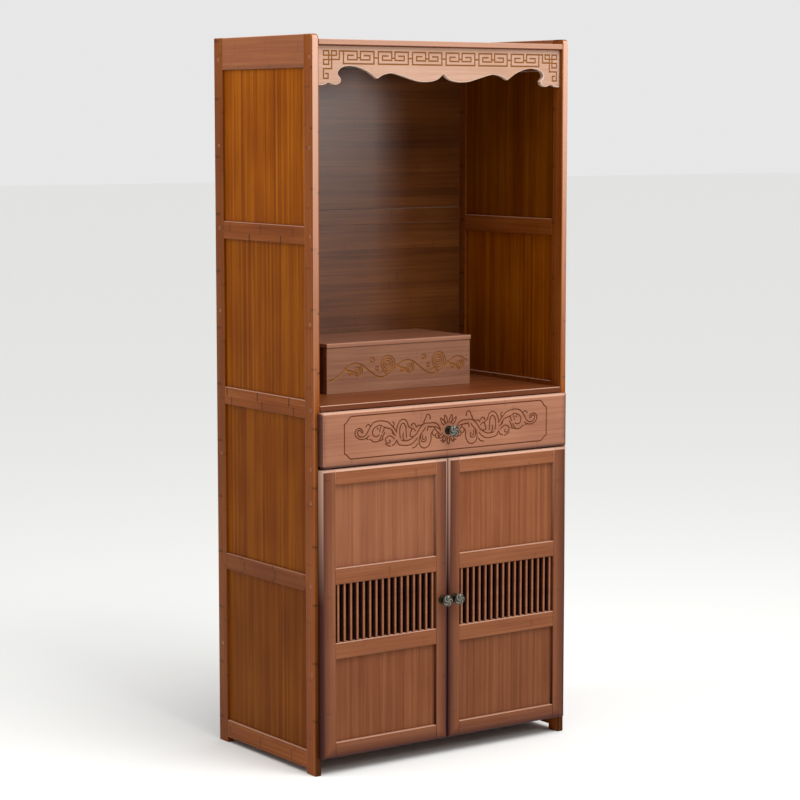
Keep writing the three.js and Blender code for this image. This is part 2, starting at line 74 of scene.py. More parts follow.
class Grain(Enum):
    """The axis that the bamboo's fibres follow."""

    ACROSS = 0
    DEEP = 1
    UPRIGHT = 2


class Hand(Enum):
    """The side of the cabinet that a piece belongs to, with its sign along X."""

    LEFT = -1
    RIGHT = 1

    @property
    def label(self) -> str:
        """The word used in node names."""
        return self.name.lower()

    @property
    def facing(self) -> Facing:
        """Where the outer faces of this side's boards look."""
        return Facing[self.name]


# ---------------------------------------------------------------- colour and node helpers


def linear(code: str) -> tuple[float, ...]:
    """Turns an sRGB hex value to a linear colour with full alpha."""
    channels = np.array([int(code[i : i + 2], 16) for i in (0, 2, 4)]) / 255
    curve = np.where(channels <= 0.04045, channels / 12.92, ((channels + 0.055) / 1.055) ** 2.4)
    return (*curve.tolist(), 1.0)


def add(tree: bpy.types.NodeTree, kind: str, links: dict | None = None, **settings) -> bpy.types.Node:
    """Adds a node with its settings and links.

    Args:
        tree: The node tree.
        kind: The node's type after "ShaderNode".
        links: Input name or number to a value, a socket, or a node whose first output is used.
        settings: Properties of the node.

    Returns:
        The new node.
    """
    made = tree.nodes.new("ShaderNode" + kind)
    for key, value in settings.items():
        setattr(made, key, value)
    for key, value in (links or {}).items():
        if isinstance(value, bpy.types.Node):
            value = value.outputs[0]
        if isinstance(value, bpy.types.NodeSocket):
            tree.links.new(value, made.inputs[key])
        else:
            made.inputs[key].default_value = value
    return made


def blend(tree: bpy.types.NodeTree, share, first, second) -> bpy.types.NodeSocket:
    """Mixes two colours by a share from 0 to 1 and returns the colour socket."""
    mix = add(tree, "Mix", {0: share, 6: first, 7: second}, data_type="RGBA")
    return mix.outputs[2]


def calc(tree: bpy.types.NodeTree, operation: str, *values) -> bpy.types.Node:
    """Adds a Math node that works on the values in order."""
    return add(tree, "Math", dict(enumerate(values)), operation=operation)


def ramp(tree: bpy.types.NodeTree, value, start: float, end: float, first=0.0, last=1.0) -> bpy.types.Node:
    """Adds a node that runs from first to last as the value runs from start to end, and stops there."""
    return add(tree, "MapRange", {0: value, 1: start, 2: end, 3: first, 4: last})


def attribute(tree: bpy.types.NodeTree, name: str, output: str = "Fac") -> bpy.types.NodeSocket:
    """Adds a node that reads one of the mesh's own attributes."""
    return add(tree, "Attribute", attribute_name=name).outputs[output]


def empty_material(name: str) -> tuple[bpy.types.Material, bpy.types.NodeTree]:
    """Makes a material without nodes and returns it with its node tree."""
    made = bpy.data.materials.new(name)
    made.use_nodes = True
    made.node_tree.nodes.clear()
    return made, made.node_tree


# ---------------------------------------------------------------- finishes


COAT_ROUGHNESS = 0.28


@dataclass(frozen=True)
class Bamboo:
    """Carbonised bamboo under a satin lacquer: glued strips that differ in tone.

    Strips are struck from the attribute "grain" (along, across and through the board, in mm).
    "tone" pales the wood where it is above 0 and darkens it below: painted highlights and painted
    shade, as well as the boards' own tones; "cut" is 1 in a groove; "rim" holds the distances in mm
    to the three edges along which painted shade darkens the wood.
    """

    name: str
    dark: str
    mid: str
    light: str
    strip: float = 7.0
    layer: float = 9.0
    node_every: float = 240.0
    node_mark: float = 0.35
    contrast: float = 0.55
    roughness: float = 0.42
    gloss: float = 0.3
    sheen: str = "F0B080"
    coat: float = 0.05
    # The tone mixes in pale above 0 and deep below, mostly painted highlights and painted shade; deep also
    # draws the node marks and the painted shade along the rim.
    pale: str = "D8AE98"
    deep: str = "35181A"
    groove_edge: str = "4A2210"
    groove_floor: str = "7A4420"
    rim_width: float = 17.0
    rim_share: float = 0.8

    @cache
    def material(self) -> bpy.types.Material:
        """Builds the material, once for each finish."""
        made, tree = empty_material(self.name)
        grain = attribute(tree, "grain", "Vector")
        tone, cut = attribute(tree, "tone"), attribute(tree, "cut")

        def drawn_out(stretch: tuple[float, float, float], detail: float) -> bpy.types.Node:
            """Adds noise on the grain's own axes, each multiplied by its stretch (per mm)."""
            place = add(tree, "VectorMath", {0: grain, 1: stretch}, operation="MULTIPLY")
            return add(tree, "TexNoise", {"Vector": place, "Scale": 1.0, "Detail": detail})

        # One throw of the dice for each strip: red sets its tone, green and blue its nodes.
        pitch = (1e5, self.strip, self.layer)
        cell = add(tree, "VectorMath", {0: grain, 1: pitch}, operation="SNAP")
        dice = add(tree, "TexWhiteNoise", {"Vector": cell}, noise_dimensions="3D")
        luck = add(tree, "SeparateColor", {0: dice.outputs["Color"]})
        place = add(tree, "SeparateXYZ", {0: grain})

        # Streaks a few millimetres wide, fibres well under one, and clouds about a hand wide.
        streak = drawn_out((0.004, 0.22, 0.22), 2.0)
        fibre = drawn_out((0.03, 1.6, 1.6), 2.0)
        cloud = drawn_out((0.006, 0.012, 0.012), 1.0)
        weights = (self.contrast, 1.1, 0.7, 0.8)
        value = 0.5 - sum(weights) / 2
        for source, weight in zip((luck, streak, fibre, cloud), weights):
            value = calc(tree, "MULTIPLY_ADD", source, weight, value)
        wood = blend(tree, ramp(tree, value, 0.0, 0.5), linear(self.dark), linear(self.mid))
        wood = blend(tree, ramp(tree, value, 0.5, 1.0), wood, linear(self.light))

        # A node line crosses each strip at its own place, a few millimetres long and ragged.
        shift = calc(tree, "MULTIPLY", luck.outputs[1], 5.3)
        turns = calc(tree, "MULTIPLY_ADD", place, 1 / self.node_every, shift)
        away = calc(tree, "ABSOLUTE", calc(tree, "WRAP", turns, -0.5, 0.5))
        ragged = calc(tree, "MULTIPLY_ADD", fibre, 6.0, -3.0)
        gap = calc(tree, "MULTIPLY_ADD", away, self.node_every, ragged)
        picked = ramp(tree, luck.outputs[2], 0.2, 0.9, 0.15, 1.0)
        marked = calc(tree, "MULTIPLY", ramp(tree, gap, 1.0, 3.4, 1.0, 0.0), picked)
        node = calc(tree, "MULTIPLY", marked, self.node_mark)

        # The glue line between strips, a fifth of a millimetre each side, drawn at 0.35 to show.
        across = calc(tree, "DIVIDE", place.outputs[1], self.strip)
        middle = calc(tree, "ABSOLUTE", calc(tree, "WRAP", across, -0.5, 0.5))
        glue = ramp(tree, middle, 0.0, 0.35 / self.strip, 0.3, 0.0)

        # Painted shade along the rim grows with the square of the nearness to an edge.
        rim = add(tree, "SeparateXYZ", {0: attribute(tree, "rim", "Vector")})
        beside = calc(tree, "MINIMUM", rim, rim.outputs[1])
        nearest = calc(tree, "MINIMUM", beside, rim.outputs[2])
        rim_nearness = ramp(tree, nearest, 0.0, self.rim_width, 1.0, 0.0)
        rim_shade = calc(tree, "MULTIPLY", calc(tree, "MULTIPLY", rim_nearness, rim_nearness), self.rim_share)

        # Over the wood: node marks, glue lines, painted shade along the rim, the tone's painted highlights
        # and painted shade, then the grooves, whose walls are darker with stain and painted shade and whose
        # floors are stained.
        layers = (
            (node, self.deep),
            (glue, self.dark),
            (rim_shade, self.deep),
            (ramp(tree, tone, 0.0, 1.0), self.pale),
            (ramp(tree, tone, 0.0, -1.0), self.deep),
            (ramp(tree, cut, 0.08, 0.5), self.groove_edge),
            (ramp(tree, cut, 0.5, 0.95), self.groove_floor),
        )
        for share, colour in layers:
            wood = blend(tree, share, wood, linear(colour))

        relief = calc(tree, "MULTIPLY_ADD", glue, -1.5, fibre)
        bump = add(tree, "Bump", {"Height": relief, "Strength": 0.25, "Distance": 0.0002})
        rough = ramp(tree, fibre, 0.3, 0.7, self.roughness - 0.05, self.roughness + 0.08)
        shader = add(tree, "BsdfPrincipled", {"Base Color": wood, "Roughness": rough, "Normal": bump})
        shader.inputs["Specular IOR Level"].default_value = self.gloss
        shader.inputs["Specular Tint"].default_value = linear(self.sheen)
        shader.inputs["Coat Weight"].default_value = self.coat
        shader.inputs["Coat Roughness"].default_value = COAT_ROUGHNESS
        add(tree, "OutputMaterial", {0: shader})
        return made


# Edge-pressed panels of the sides: the eye sees narrow upright strips of amber brown.
SIDE_PANEL = Bamboo(
    "amber_bamboo_edge_pressed", "743404", "8E4804", "A65E0C", contrast=0.45, node_mark=0.1,
    gloss=0.06, sheen="E09050", coat=0.0, deep="2A1002",
)
# Flat-pressed rails and stiles of the sides: broad strips with clear dark nodes.
SIDE_RAIL = Bamboo(
    "russet_bamboo_flat_pressed", "6E340E", "864416", "985826", strip=21.0, contrast=0.3,
    node_every=120.0, node_mark=0.85, gloss=0.14, sheen="E09050", deep="2E1404",
)
# Doors' frames: warm brown, with painted shade in plum towards the doors' outer edges and feet.
DOOR_FRAME = Bamboo(
    "brown_bamboo_flat_pressed", "74422A", "855033", "935D41", strip=16.0, contrast=0.3,
    node_mark=0.3, gloss=0.2, rim_width=44.0, rim_share=1.0,
)
# Doors' panels: fine upright strips without nodes, a little redder than the frames.
DOOR_PANEL = Bamboo(
    "brown_bamboo_edge_pressed", "703D24", "824C30", "905A3A", strip=6.0, contrast=0.45,
    node_mark=0.06, gloss=0.15, deep="38180C",
)
# The drawer's front is one wide board of lighter tan, with brown incised lines.
DRAWER_FACE = Bamboo(
    "tan_bamboo_flat_pressed", "875641", "98664F", "A6745A", strip=20.0, contrast=0.25,
    node_mark=0.2, groove_edge="5E2C14", groove_floor="52240C",
)
# The valance is the palest wood of all; its grooves are stained golden brown.
VALANCE_WOOD = Bamboo(
    "pale_bamboo_flat_pressed", "A47C66", "B28D78", "BE9A86", strip=22.0, contrast=0.2,
    node_mark=0.08, pale="F0D6C4", groove_edge="6B3E14", groove_floor="845018",
)
# The riser's front has a dull rose-brown stain with gold-brown grooves.
RISER_WOOD = Bamboo(
    "rose_bamboo_flat_pressed", "785040", "8B614B", "997058", strip=20.0, contrast=0.25,
    node_mark=0.15, groove_edge="4A2010", groove_floor="9C6228",
)
# Deck and other shelves: reddish brown, broad strips running across.
SHELF_WOOD = Bamboo(
    "red_brown_bamboo_flat_pressed", "643116", "743D20", "844A2A", strip=20.0, contrast=0.3, node_mark=0.3
)
# The back is the darkest stain, with strips running across under a glossy coat.
BACK_WOOD = Bamboo(
    "dark_bamboo_flat_pressed", "4A2408", "62340F", "76441C", strip=18.0, contrast=0.4,
    node_mark=0.3, gloss=0.15, sheen="FFFFFF", coat=0.6,
)
# Drawer box boards: bare, lighter bamboo with a thin coat of oil.
BOX_WOOD = Bamboo("natural_bamboo_edge_pressed", "A87848", "BC8C5A", "CA9C6A", roughness=0.55, coat=0.0)


@dataclass(frozen=True)
class AgedMetal:
    """Cast and antiqued metal: dark in its hollows, rubbed bright on its ridges."""

    name: str
    hollow: str
    ridge: str
    roughness: float = 0.36

    @cache
    def material(self) -> bpy.types.Material:
        """Builds the material, once for each finish."""
        made, tree = empty_material(self.name)
        place = add(tree, "TexCoord").outputs["Object"]
        # Cast skin with a grain of about 1.5 mm.
        grit = add(tree, "TexNoise", {"Vector": place, "Scale": 1 / (1.5 * MM), "Detail": 3.0})
        # The tone sets the rubbing: patina in the head's hollows and bright ridges, and painted shadow on
        # the stem and base.
        rubbed_and_shaded = ramp(tree, calc(tree, "MULTIPLY_ADD", grit, 0.5, attribute(tree, "tone")), 0.1, 0.9)
        colour = blend(tree, rubbed_and_shaded, linear(self.hollow), linear(self.ridge))
        rough = ramp(tree, rubbed_and_shaded, 0.0, 1.0, self.roughness + 0.25, self.roughness)
        bump = add(tree, "Bump", {"Height": grit, "Strength": 0.3, "Distance": 0.0002})
        links = {"Base Color": colour, "Roughness": rough, "Normal": bump, "Metallic": 1.0}
        shader = add(tree, "BsdfPrincipled", links)
        add(tree, "OutputMaterial", {0: shader})
        return made


# Cast zinc with a bronze patina: grey-green hollows and dull pewter ridges.
KNOB_METAL = AgedMetal("antiqued_bronze_casting", "2A2822", "827E74")


# ---------------------------------------------------------------- meshes


@dataclass
class Shell:
    """A mesh under way: points in mm, faces, and the tone and cut of each point."""

    points: list[Array] = field(default_factory=list)
    faces: list[list[int]] = field(default_factory=list)
    tones: list[Array] = field(default_factory=list)
    cuts: list[Array] = field(default_factory=list)
    count: int = 0

    def take(self, points: Array, faces: list[list[int]], tone: Array, cut: Array | None = None) -> None:
        """Adds a block of points with its faces.

        Args:
            points: N by 3 places in mm.
            faces: Corner numbers within this block.
            tone: N tones from -1 to 1.
            cut: N groove shares from 0 to 1, or None for no grooves.
        """
        self.points.append(points)
        self.faces.extend([[corner + self.count for corner in face] for face in faces])
        self.tones.append(np.clip(tone, -1.0, 1.0))
        self.cuts.append(np.zeros(len(points)) if cut is None else cut)
        self.count += len(points)


def tube_faces(rings: int, around: int) -> list[list[int]]:
    """Faces of a closed tube: one flat face at each end and quads between neighbouring rings.

    Args:
        rings: How many rings of points there are, each outside or behind the one before.
        around: How many points a ring has.

    Returns:
        Corner numbers, anticlockwise seen from outside.
    """
    numbers = np.arange(rings * around).reshape(rings, around)
    beyond = np.roll(numbers, -1, 1)
    quads = np.stack([numbers[:-1], numbers[1:], beyond[1:], beyond[:-1]], -1)
    return [numbers[0].tolist(), numbers[-1][::-1].tolist(), *quads.reshape(-1, 4).tolist()]


_boards_made = 0


def grain_vector(points: Array, grain: Grain, depth_axis: int) -> Array:
    """Place of each point in its board's own wood: along, across and through, in mm.

    Each board is cut from its own stretch of the stock, so the first two run on from board to
    board by fixed odd steps; the third is measured from the board's low face plus 1.7 mm, which
    keeps both faces clear of the joints between layers.
    """
    global _boards_made
    _boards_made += 1
    across_axis = ({0, 1, 2} - {grain.value, depth_axis}).pop()
    through = points[:, depth_axis] - points[:, depth_axis].min() + 1.7
    along = points[:, grain.value] + 1013.7 * _boards_made
    across = points[:, across_axis] + 137.31 * _boards_made
    return np.stack([along, across, through], 1)


@dataclass(frozen=True)
class Ride:
    """What a piece belongs to: its body and the nodes it stands for, with the name of a material slot that
    nothing here applies.

    rim: Left, right and bottom of the outline along which painted shade darkens the wood, in mm.
    """

    body: str
    slot: str
    nodes: tuple[str, ...] = ()
    rim: tuple[float, float, float] = (-1e3, 1e3, -1e3)


def make_piece(
    name: str, shell: Shell, finish, ride: Ride, grain: Grain, depth_axis: int
) -> bpy.types.Object:
    """Turns a shell into an object that rides on its body.

    Args:
        name: The piece's name.
        shell: Points, faces and attributes.
        finish: A finish with a material() method.
        ride: Body, slot and replaced nodes.
        grain: The fibres' axis.
        depth_axis: The axis through the board.

    Returns:
        The finished object, at the origin.
    """
    points = np.concatenate(shell.points)
    mesh = bpy.data.meshes.new(name)
    mesh.from_pydata((points * MM).tolist(), [], shell.faces)
    attributes = (
        ("tone", "FLOAT", "value", np.concatenate(shell.tones)),
        ("cut", "FLOAT", "value", np.concatenate(shell.cuts)),
        ("grain", "FLOAT_VECTOR", "vector", grain_vector(points, grain, depth_axis)),
        ("rim", "FLOAT_VECTOR", "vector", (points[:, [0, 0, 2]] - ride.rim) * [1, -1, 1]),
    )
    for label, kind, key, values in attributes:
        layer = mesh.attributes.new(label, kind, "POINT")
        layer.data.foreach_set(key, values.astype(np.float32).ravel())
    mesh.polygons.foreach_set("use_smooth", np.ones(len(mesh.polygons), bool))
    mesh.materials.append(finish.material())
    mesh.update()
    piece = bpy.data.objects.new(name, mesh)
    bpy.context.scene.collection.objects.link(piece)
    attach(piece, ride.body)
    if ride.nodes:
        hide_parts(*ride.nodes)
    LOG.info("%s: %d points, %d faces, on %s", name, len(points), len(shell.faces), ride.body)
    return piece


def node_box(node: str) -> tuple[Array, Array]:
    """A node's lowest and highest corners in mm."""
    low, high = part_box(node)
    return np.array(low) / MM, np.array(high) / MM


# ---------------------------------------------------------------- boards


@dataclass(frozen=True)
class Edges:
    """Roundings of a board, in mm.

    face: Radii of the face's four edges: low and high side of the first in-plane axis, then of
        the second.
    corners: Plan radii of the four corners, in the order low-low, high-low, high-high, low-high.
    back: Radius of the edges behind.
    """

    face: tuple[float, float, float, float] = (0.8, 0.8, 0.8, 0.8)
    corners: tuple[float, float, float, float] = (0.8, 0.8, 0.8, 0.8)
    back: float = 0.8


def eased(radius: float) -> Edges:
    """The same small rounding before and behind."""
    return Edges(face=(radius,) * 4, back=radius)


SUPPORT = 0.4
CORNER_STEPS = 4
DEPTH_STEPS = 5


def board_shell(
    shell: Shell,
    low: Array,
    high: Array,
    facing: Facing = Facing.FRONT,
    edges: Edges = Edges(),
    tones: tuple[float, float, float, float] = (0.0, 0.0, 0.0, 0.0),
    edge_highlight: float = 0.12,
    shade: float = 0.0,
    back_tone: float = 0.0,
    climb: float = 0.0,
    back_shade: float = 0.0,
) -> None:
    """Adds a board with eased edges.

    At depth b behind the face, a side of radius r stands back by r - sqrt(r^2 - (r - b)^2), and
    each corner is a quarter circle of its plan radius less that amount. Rings at a few depths
    are joined by quads and closed by one flat face in front and one behind.

    Args:
        shell: Takes the board.
        low: Lowest corner in mm.
        high: Highest corner in mm.
        facing: Where the face looks.
        edges: The roundings.
        tones: Tone along the four sides, in the order of Edges.face: painted highlight above 0, painted
            shade below.
        edge_highlight: How much paler the rounded edges in front are, a painted highlight.
        shade: Tone of the whole board: the stock's own paler or darker tone, and painted shade on lower
            boards for the light's fall towards the floor.
        back_tone: Tone added on the rounding behind, painted shade where it is below 0.
        climb: The part of the sides' tones that is missing at the foot and grows with height; at 2 a painted
            highlight at the top turns into painted shade of the same strength at the foot.
        back_shade: Tone added on the flat face behind, painted shade and painted light on the inner faces of
            the sides.
    """
    axis_a, axis_b, axis_c, sense = facing.value
    thick = high[axis_c] - low[axis_c]
    radii = np.array(edges.face)
    angles = np.linspace(0, math.pi / 2, DEPTH_STEPS)
    front = np.unique(np.concatenate([r * (1 - np.cos(angles)) for r in set(edges.face)]).round(4))
    behind = thick - edges.back * (1 - np.cos(angles[::-1]))
    depths = np.concatenate([[0.0], front, [front[-1] + SUPPORT, behind[0] - SUPPORT], behind, [thick]])
    from_face = np.clip(radii[None, :] - depths[:, None], 0, None)
    insets = radii - np.sqrt(np.clip(radii**2 - from_face**2, 0, None))
    from_back = np.clip(edges.back - (thick - depths), 0, None)
    insets = np.maximum(insets, (edges.back - np.sqrt(edges.back**2 - from_back**2))[:, None])
    insets[[0, -1]] += SUPPORT

    ring_low = np.array([low[axis_a], low[axis_b]]) + insets[:, [0, 2]]
    ring_high = np.array([high[axis_a], high[axis_b]]) - insets[:, [1, 3]]
    signs = np.array([[-1, -1], [1, -1], [1, 1], [-1, 1]])
    starts = np.array([180, 270, 0, 90])
    rows = []
    for sign, start, plan in zip(signs, starts, edges.corners):
        place = np.where(sign < 0, ring_low, ring_high)
        beside = insets[:, [0 if sign[0] < 0 else 1, 2 if sign[1] < 0 else 3]].max(1)
        radius = np.clip(plan - beside, 0.05, None)[:, None]
        centre = (place - sign * radius)[:, None, :]
        turn = np.radians(start + np.linspace(0, 90, CORNER_STEPS))
        spoke = np.stack([np.cos(turn), np.sin(turn)], 1)
        arc = centre + radius[:, :, None] * spoke
        tangent = np.stack([-np.sin(turn), np.cos(turn)], 1)
        rows += [arc[:, :1] - SUPPORT * tangent[0], arc, arc[:, -1:] + SUPPORT * tangent[-1]]
    plan_points = np.concatenate(rows, 1)
    rings, around = plan_points.shape[:2]
    points = np.zeros((rings, around, 3))
    points[:, :, axis_a] = plan_points[:, :, 0]
    points[:, :, axis_b] = plan_points[:, :, 1]
    start_c = low[axis_c] if sense > 0 else high[axis_c]
    points[:, :, axis_c] = start_c + sense * depths[:, None]

    flat = points.reshape(-1, 3)
    sides = np.stack([
        flat[:, axis_a] - low[axis_a],
        high[axis_a] - flat[:, axis_a],
        flat[:, axis_b] - low[axis_b],
        high[axis_b] - flat[:, axis_b],
    ])
    near = sides <= (np.maximum(radii, 0.8) + 0.05)[:, None]
    height = (flat[:, 2] - low[2]) / (high[2] - low[2])
    # Painted highlight and painted shade along the sides; where both reach a point, the highlight wins.
    along = near * np.array(tones)[:, None]
    along = np.where(along.max(0) > 0, along.max(0), along.sum(0))
    tone = shade + along * (1 - climb * (1 - height))
    # Painted shade on the rounding behind; back_shade then sets the painted tone of the flat face behind.
    tone += back_tone * np.repeat(depths > thick - edges.back - 0.01, around)
    tone[-around:] += back_shade - back_tone
    # Painted highlight on the rounded edges in front.
    rounded = np.repeat(insets.max(1) > 0.02, around) & np.repeat(np.arange(rings) > 0, around)
    tone += edge_highlight * rounded * np.repeat(depths < thick / 2, around)
    shell.take(flat, tube_faces(rings, around), tone)


@dataclass
class BoardMaker:
    """Replaces single nodes by eased boards of one kind."""

    finish: Bamboo
    body: str
    slot: str
    facing: Facing = Facing.FRONT
    grain: Grain = Grain.ACROSS
    rim: tuple[float, float, float] = (-1e3, 1e3, -1e3)

    def make(self, node: str, edges: Edges = Edges(), trim=(0, 0), **options) -> bpy.types.Object:
        """Replaces one node by a board of its own size.

        Args:
            node: The CAD node.
            edges: The board's roundings.
            trim: Added to the board's low and high corners.
            options: Further arguments of board_shell.

        Returns:
            The board.
        """
        shell = Shell()
        low, high = node_box(node)
        board_shell(shell, low + trim[0], high + trim[1], self.facing, edges, **options)
        ride = Ride(self.body, self.slot, (node,), self.rim)
        return make_piece(node + "_board", shell, self.finish, ride, self.grain, self.facing.value[2])


# ---------------------------------------------------------------- lines for carving


def through(points: list[tuple[float, float]], steps: int = 8) -> Array:
    """A smooth line through points: between two of them it is the cubic whose slope at each end
    is half the way from the neighbour before to the neighbour after."""
    p = np.array(points, float)
    full = np.vstack([2 * p[0] - p[1], p, 2 * p[-1] - p[-2]])
    t = np.linspace(0, 1, steps, endpoint=False)[:, None, None]
    here, there = full[1:-2], full[2:-1]
    slope_here, slope_there = (there - full[:-3]) / 2, (full[3:] - here) / 2
    rise = 3 * t**2 - 2 * t**3
    body = here * (1 - rise) + there * rise
    body = body + (t**3 - 2 * t**2 + t) * slope_here + (t**3 - t**2) * slope_there
    return np.vstack([body.transpose(1, 0, 2).reshape(-1, 2), p[-1:]])


def scroll(centre: tuple[float, float], radii: tuple[float, float], turn: tuple[float, float]) -> Array:
    """A scroll: radius and angle (degrees) both run evenly from start to end about a centre."""
    steps = np.linspace(0, 1, max(int(abs(turn[1] - turn[0]) / 14), 6))
    radius = radii[0] + (radii[1] - radii[0]) * steps
    angle = np.radians(turn[0] + (turn[1] - turn[0]) * steps)
    return np.array(centre) + radius[:, None] * np.stack([np.cos(angle), np.sin(angle)], 1)


def normals_of(line: Array) -> Array:
    """Unit normals on the right-hand side of a line, averaged at its points."""
    run = np.diff(line, axis=0)
    run = run / np.linalg.norm(run, axis=1, keepdims=True)
    mean = np.vstack([run[:1], run[:-1] + run[1:], run[-1:]])
    mean = mean / np.linalg.norm(mean, axis=1, keepdims=True)
    return np.stack([mean[:, 1], -mean[:, 0]], 1)


@dataclass(frozen=True)
class Cutter:
    """A carving tool: line width, width of its sloping walls and depth, in mm; square or round."""

    width: float
    wall: float
    depth: float
    square: bool = False

    def share(self, xs: Array, zs: Array, lines: list[Array]) -> Array:
        """How deep the groove is at each grid point, from 0 to 1.

        The share is half the width less the distance to the nearest line, over the wall's width,
        kept between 0 and 1 and eased by 3t^2 - 2t^3.

        Args:
            xs: Grid columns in mm.
            zs: Grid rows in mm.
            lines: The lines to cut, as points (x, z).

        Returns:
            One share for each row and column.
        """
        reach = self.width
        deepest = np.zeros((zs.size, xs.size))
        for line in lines:
            low, high = line.min(0) - reach, line.max(0) + reach
            columns = slice(*np.searchsorted(xs, (low[0], high[0])))
            rows = slice(*np.searchsorted(zs, (low[1], high[1])))
            here = np.stack(np.meshgrid(xs[columns], zs[rows]), -1)[:, :, None, :]
            start, run = line[:-1], np.diff(line, axis=0)
            along = ((here - start) * run).sum(-1) / (run**2).sum(-1)
            gap = here - start - np.clip(along, 0, 1)[..., None] * run
            gap = np.abs(gap).max(-1) if self.square else np.linalg.norm(gap, axis=-1)
            inside = np.clip((self.width / 2 - gap.min(-1)) / self.wall, 0, 1)
            deepest[rows, columns] = np.maximum(deepest[rows, columns], inside)
        return deepest**2 * (3 - 2 * deepest)


def stops(low: float, high: float, wanted: list[float], step: float) -> Array:
    """Grid lines from low to high through all wanted places, no two further apart than step."""
    marks = np.unique(np.clip(np.round([low, high, *wanted], 3), low, high))
    counts = np.maximum(np.ceil(np.diff(marks) / step), 1).astype(int)
    parts = [np.linspace(a, b, n, endpoint=False) for a, b, n in zip(marks[:-1], marks[1:], counts)]
    return np.concatenate([*parts, [high]])


# ---------------------------------------------------------------- carved boards


@dataclass
class CarvedBoard:
    """A board whose face is a height field over a grid, with rounded edges all round.

    Attributes:
        low: Lowest corner in mm.
        high: Highest corner in mm.
        radius: Rounding of the face's edges.
        xs: Grid columns between the rounded sides.
        zs: Grid rows.
        share: Groove share at each grid point.
        depth: Depth of the grooves.
        edge: The lower outline, left to right, or None for a straight one.
        tones: Tone of the rounded sides: left, right, foot and top; painted highlight above 0, painted shade
            below.
    """

    low: Array
    high: Array
    radius: float
    xs: Array
    zs: Array
    share: Array
    depth: float
    edge: Array | None = None
    tones: tuple[float, float, float, float] = (0.1, 0.1, 0.1, 0.1)

    def make(self, name: str, finish: Bamboo, ride: Ride) -> bpy.types.Object:
        """Builds the board as an object with its fibres running across."""
        shell = Shell()
        self.build(shell)
        return make_piece(name, shell, finish, ride, Grain.ACROSS, 1)

    def cells(self) -> Array:
        """Which grid cells lie wholly above the lower outline, drawn in by the radius.

        A point is inside if a ray to its right crosses the closed outline an odd number of times.
        """
        full = np.ones((self.zs.size - 1, self.xs.size - 1), bool)
        if self.edge is None:
            return full
        far, top = self.high[0] + 9, self.high[2] + 9
        line = self.inner_edge()
        ends = [[far, line[-1, 1]], [far, top], [-far, top], [-far, line[0, 1]]]
        ring = np.vstack([line, ends])
        start, end = ring, np.roll(ring, -1, 0)
        spans = (start[:, 1] > self.zs[:, None]) != (end[:, 1] > self.zs[:, None])
        rise = np.where(end[:, 1] == start[:, 1], 1e-9, end[:, 1] - start[:, 1])
        share = (self.zs[:, None] - start[:, 1]) / rise
        cross = start[:, 0] + share * (end[:, 0] - start[:, 0])
        hits = spans[:, None, :] & (self.xs[None, :, None] < cross[:, None, :])
        inside = hits.sum(-1) % 2 == 1
        return inside[:-1, :-1] & inside[1:, :-1] & inside[:-1, 1:] & inside[1:, 1:]

    def inner_edge(self) -> Array:
        """The lower outline moved into the board by the radius."""
        return self.edge - normals_of(self.edge) * self.radius

    def build(self, shell: Shell) -> None:
        """Adds the board: the grid in front, rings round the rim, and one flat face behind.

        Ring k stands out from the face's rim by radius times sin(a) and back by radius times
        1 - cos(a), with a from 0 to 90 degrees, then runs straight to the back.
        """
        cells = self.cells()
        rows, columns = self.zs.size, self.xs.size
        padded = np.pad(cells, 1)
        around = sum(
            padded[j : j + rows, i : i + columns].astype(int) for j in (0, 1) for i in (0, 1)
        )
        grid_x, grid_z = np.meshgrid(self.xs, self.zs)
        flat_x, flat_z, count = grid_x.ravel().copy(), grid_z.ravel().copy(), around.ravel()
        rim = np.flatnonzero((count > 0) & (count < 4))
        used = np.flatnonzero(count > 0)
        new_number = np.full(count.size, -1)
        new_number[used] = np.arange(used.size)

        outward = np.zeros((rim.size, 2))
        at_side = np.isclose(flat_x[rim], self.xs[-1]) * 1.0 - np.isclose(flat_x[rim], self.xs[0])
        at_top = np.isclose(flat_z[rim], self.zs[-1])
        at_foot = ~at_top & ((at_side == 0) | (count[rim] == 1))
        outward[:, 0] = at_side
        outward[:, 1] = at_top
        # Going round: along the foot, up the right side, back along the top and down the left side.
        up_or_down = np.where(at_side > 0, 1e4 + flat_z[rim], 3e4 - flat_z[rim])
        order = np.where(at_top, 2e4 - flat_x[rim], up_or_down)
        if self.edge is None:
            outward[at_foot, 1] = -1
            order = np.where(at_foot & (at_side == 0), flat_x[rim], order)
        else:
            place, normal, arc = self.nearest(flat_x[rim], flat_z[rim])
            flat_x[rim] = np.where(at_foot & (at_side == 0), place[:, 0], flat_x[rim])
            flat_z[rim] = np.where(at_foot, place[:, 1], flat_z[rim])
            outward += np.where(at_foot[:, None], normal, 0)
            order = np.where(at_foot & (at_side == 0), arc, order)

        share = self.share.ravel()
        front_y = self.low[1] + self.depth * share
        front = np.stack([flat_x, front_y, flat_z], 1)[used]
        angles = np.linspace(0, math.pi / 2, 6)[1:]
        outs = np.concatenate([self.radius * np.sin(angles), [self.radius] * 2, [self.radius - 0.5] * 2])
        thick = self.high[1] - self.low[1]
        backs = np.concatenate([self.radius * (1 - np.cos(angles)), [self.radius + 0.5, thick - 0.5]])
        backs = np.concatenate([backs, [thick, thick]])
        outs[-1] = self.radius - 1.0
        base = np.stack([flat_x[rim], flat_z[rim]], 1)
        plan = base + outward * outs[:, None, None]
        ring_y = np.broadcast_to(self.low[1] + backs[:, None], plan.shape[:2])
        rings = np.stack([plan[..., 0], ring_y, plan[..., 1]], -1)

